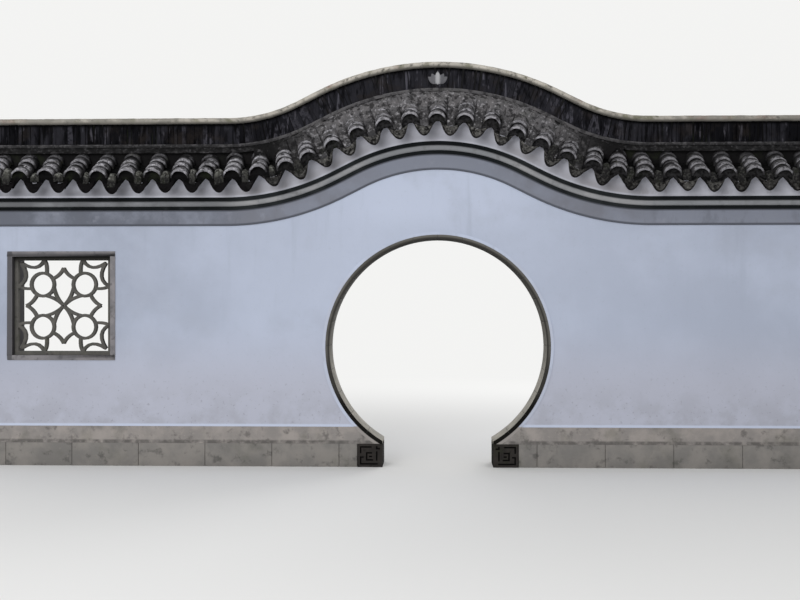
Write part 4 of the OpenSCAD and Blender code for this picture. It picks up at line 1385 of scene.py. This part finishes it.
class GATE_OT_stonework(GateOperator, bpy.types.Operator):
    """Wear the edges of the carved foot stones and the plinth slabs"""

    bl_idname = "gate.stonework"
    bl_label = "Foot stones and plinth"

    def execute(self, context):
        foot = carving_finish(self.colours.foot, self.sizes.wall_face + 0.022)
        slab = Stone("plinth_stone", self.colours.slab, 0.2, 1.3, 0.6).done()
        for hand in HANDS:
            stone = finished(softened(f"{hand}_fret_stone", [f"{hand}_foot_stone"], 0.002), foot)
            seat(stone, "foot_stone", f"{hand}_foot_stone")
            blocks = finished(softened(f"{hand}_plinth_slabs", [f"{hand}_plinth"], 0.003), slab)
            seat(blocks, "plinth_stone", f"{hand}_plinth")
        return {"FINISHED"}


class GATE_OT_window(GateOperator, bpy.types.Operator):
    """Finish the window's stone frame and its lattice"""

    bl_idname = "gate.window"
    bl_label = "Lattice window"

    def execute(self, context):
        stone = window_finish(self.colours.frame, self.sizes.wall_face)
        cast = Stone("lattice", self.colours.lattice, 0.3, 1.6)
        # Painted shadow of the lintel over the top of the lattice.
        cast.lay(0.22, cast.spread("Z", 2.03, 2.09), 0.9)
        parts = (
            ("window_frame", ("window_lintel", "window_sill", "window_jambs"), 0.003, stone),
            ("lattice_bars", ("window_lattice",), 0.006, cast.done()),
        )
        for name, nodes, width, material in parts:
            seat(finished(softened(name, nodes, width), material), "window_stone", *nodes)
        return {"FINISHED"}


class GATE_OT_stage(GateOperator, bpy.types.Operator):
    """Set the floor, the light and the camera"""

    bl_idname = "gate.stage"
    bl_label = "Stage"

    def execute(self, context):
        scene = context.scene
        bm = bmesh.new()
        bmesh.ops.create_circle(bm, cap_ends=True, cap_tris=False, segments=64, radius=120)
        finished(mesh_object("floor", bm), self.floor_material())
        scene.world = self.sky()
        self.lamp("front light", (-5.5, -16.5, 5.5), 1620)
        self.lamp("back light", (5.5, 16.5, 5.5), 1480)
        eye = bpy.data.cameras.new("camera")
        eye.sensor_width = 36.0
        eye.lens = 50.4
        camera = bpy.data.objects.new("camera", eye)
        camera.location = (0.0, -11.363, 1.67)
        camera.rotation_euler = (radians(90), 0, radians(1.93))
        scene.collection.objects.link(camera)
        scene.camera = camera
        scene.view_settings.view_transform = "Standard"
        return {"FINISHED"}

    def lamp(self, name, place, watts, size=10.0, target=(0, 0, 1.8)):
        """A large soft lamp that looks at a point."""
        light = bpy.data.lights.new(name, "AREA")
        light.shape = "DISK"
        light.size = size
        light.energy = watts
        obj = bpy.data.objects.new(name, light)
        obj.location = place
        obj.rotation_euler = (Vector(target) - Vector(place)).to_track_quat("-Z", "Y").to_euler()
        bpy.context.scene.collection.objects.link(obj)

    def floor_material(self):
        """A pale floor that throws less light up at the eaves than it shows and fades into the sky."""
        f = Finish("floor", (0.48, 0.48, 0.48), 0.0)
        seen = f.seen()
        f.lay((0.7, 0.7, 0.695), seen)
        f.put(f.shader.inputs["Base Color"], f.colour)
        f.put(f.shader.inputs["Roughness"], 0.9)
        away = f.vector("LENGTH", f.coords)["Value"]
        share = f.math("MULTIPLY", f.spread(away, 3.0, 13.0), seen)
        glow = f.add("ShaderNodeEmission", HAZE).outputs[0]
        f.put(f.out.inputs[0], f.add("ShaderNodeMixShader", share, f.shader.outputs[0], glow).outputs[0])
        return f.material

    def sky(self):
        """Even light from above that shows as a pale backdrop."""
        world = bpy.data.worlds.new("sky")
        world.use_nodes = True
        n = Nodes(world.node_tree)
        light = n.tree.nodes["Background"]
        n.put(light.inputs["Color"], (1.0, 1.0, 1.0))
        n.put(light.inputs["Strength"], 0.8)
        haze = n.add("ShaderNodeBackground", HAZE, 1.0).outputs[0]
        mix = n.add("ShaderNodeMixShader", n.seen(), light.outputs[0], haze).outputs[0]
        n.put(n.tree.nodes["World Output"].inputs[0], mix)
        return world


OPERATORS = (
    GATE_OT_walls, GATE_OT_bands, GATE_OT_cover_tiles, GATE_OT_pan_tiles, GATE_OT_ridge,
    GATE_OT_bud, GATE_OT_ring, GATE_OT_stonework, GATE_OT_window, GATE_OT_stage,
)


class GATE_PT_panel(bpy.types.Panel):
    """Lists the pieces and their sizes in the sidebar"""

    bl_idname = "GATE_PT_panel"
    bl_label = "Moon gate"
    bl_space_type = "VIEW_3D"
    bl_region_type = "UI"
    bl_category = "Moon gate"

    def draw(self, context):
        for operator in OPERATORS:
            self.layout.operator(operator.bl_idname)
        for group in (context.scene.gate_sizes, context.scene.gate_colours):
            box = self.layout.box()
            for name in group.__annotations__:
                box.prop(group, name)


CLASSES = (GateSizes, GateColours, *OPERATORS, GATE_PT_panel)


def register():
    for cls in CLASSES:
        bpy.utils.register_class(cls)
    bpy.types.Scene.gate_sizes = PointerProperty(type=GateSizes)
    bpy.types.Scene.gate_colours = PointerProperty(type=GateColours)


def unregister():
    del bpy.types.Scene.gate_sizes
    del bpy.types.Scene.gate_colours
    for cls in reversed(CLASSES):
        bpy.utils.unregister_class(cls)


def main():
    """Builds every piece."""
    register()
    for operator in OPERATORS:
        group, name = operator.bl_idname.split(".")
        getattr(getattr(bpy.ops, group), name)()


if __name__ == "__main__":
    main()
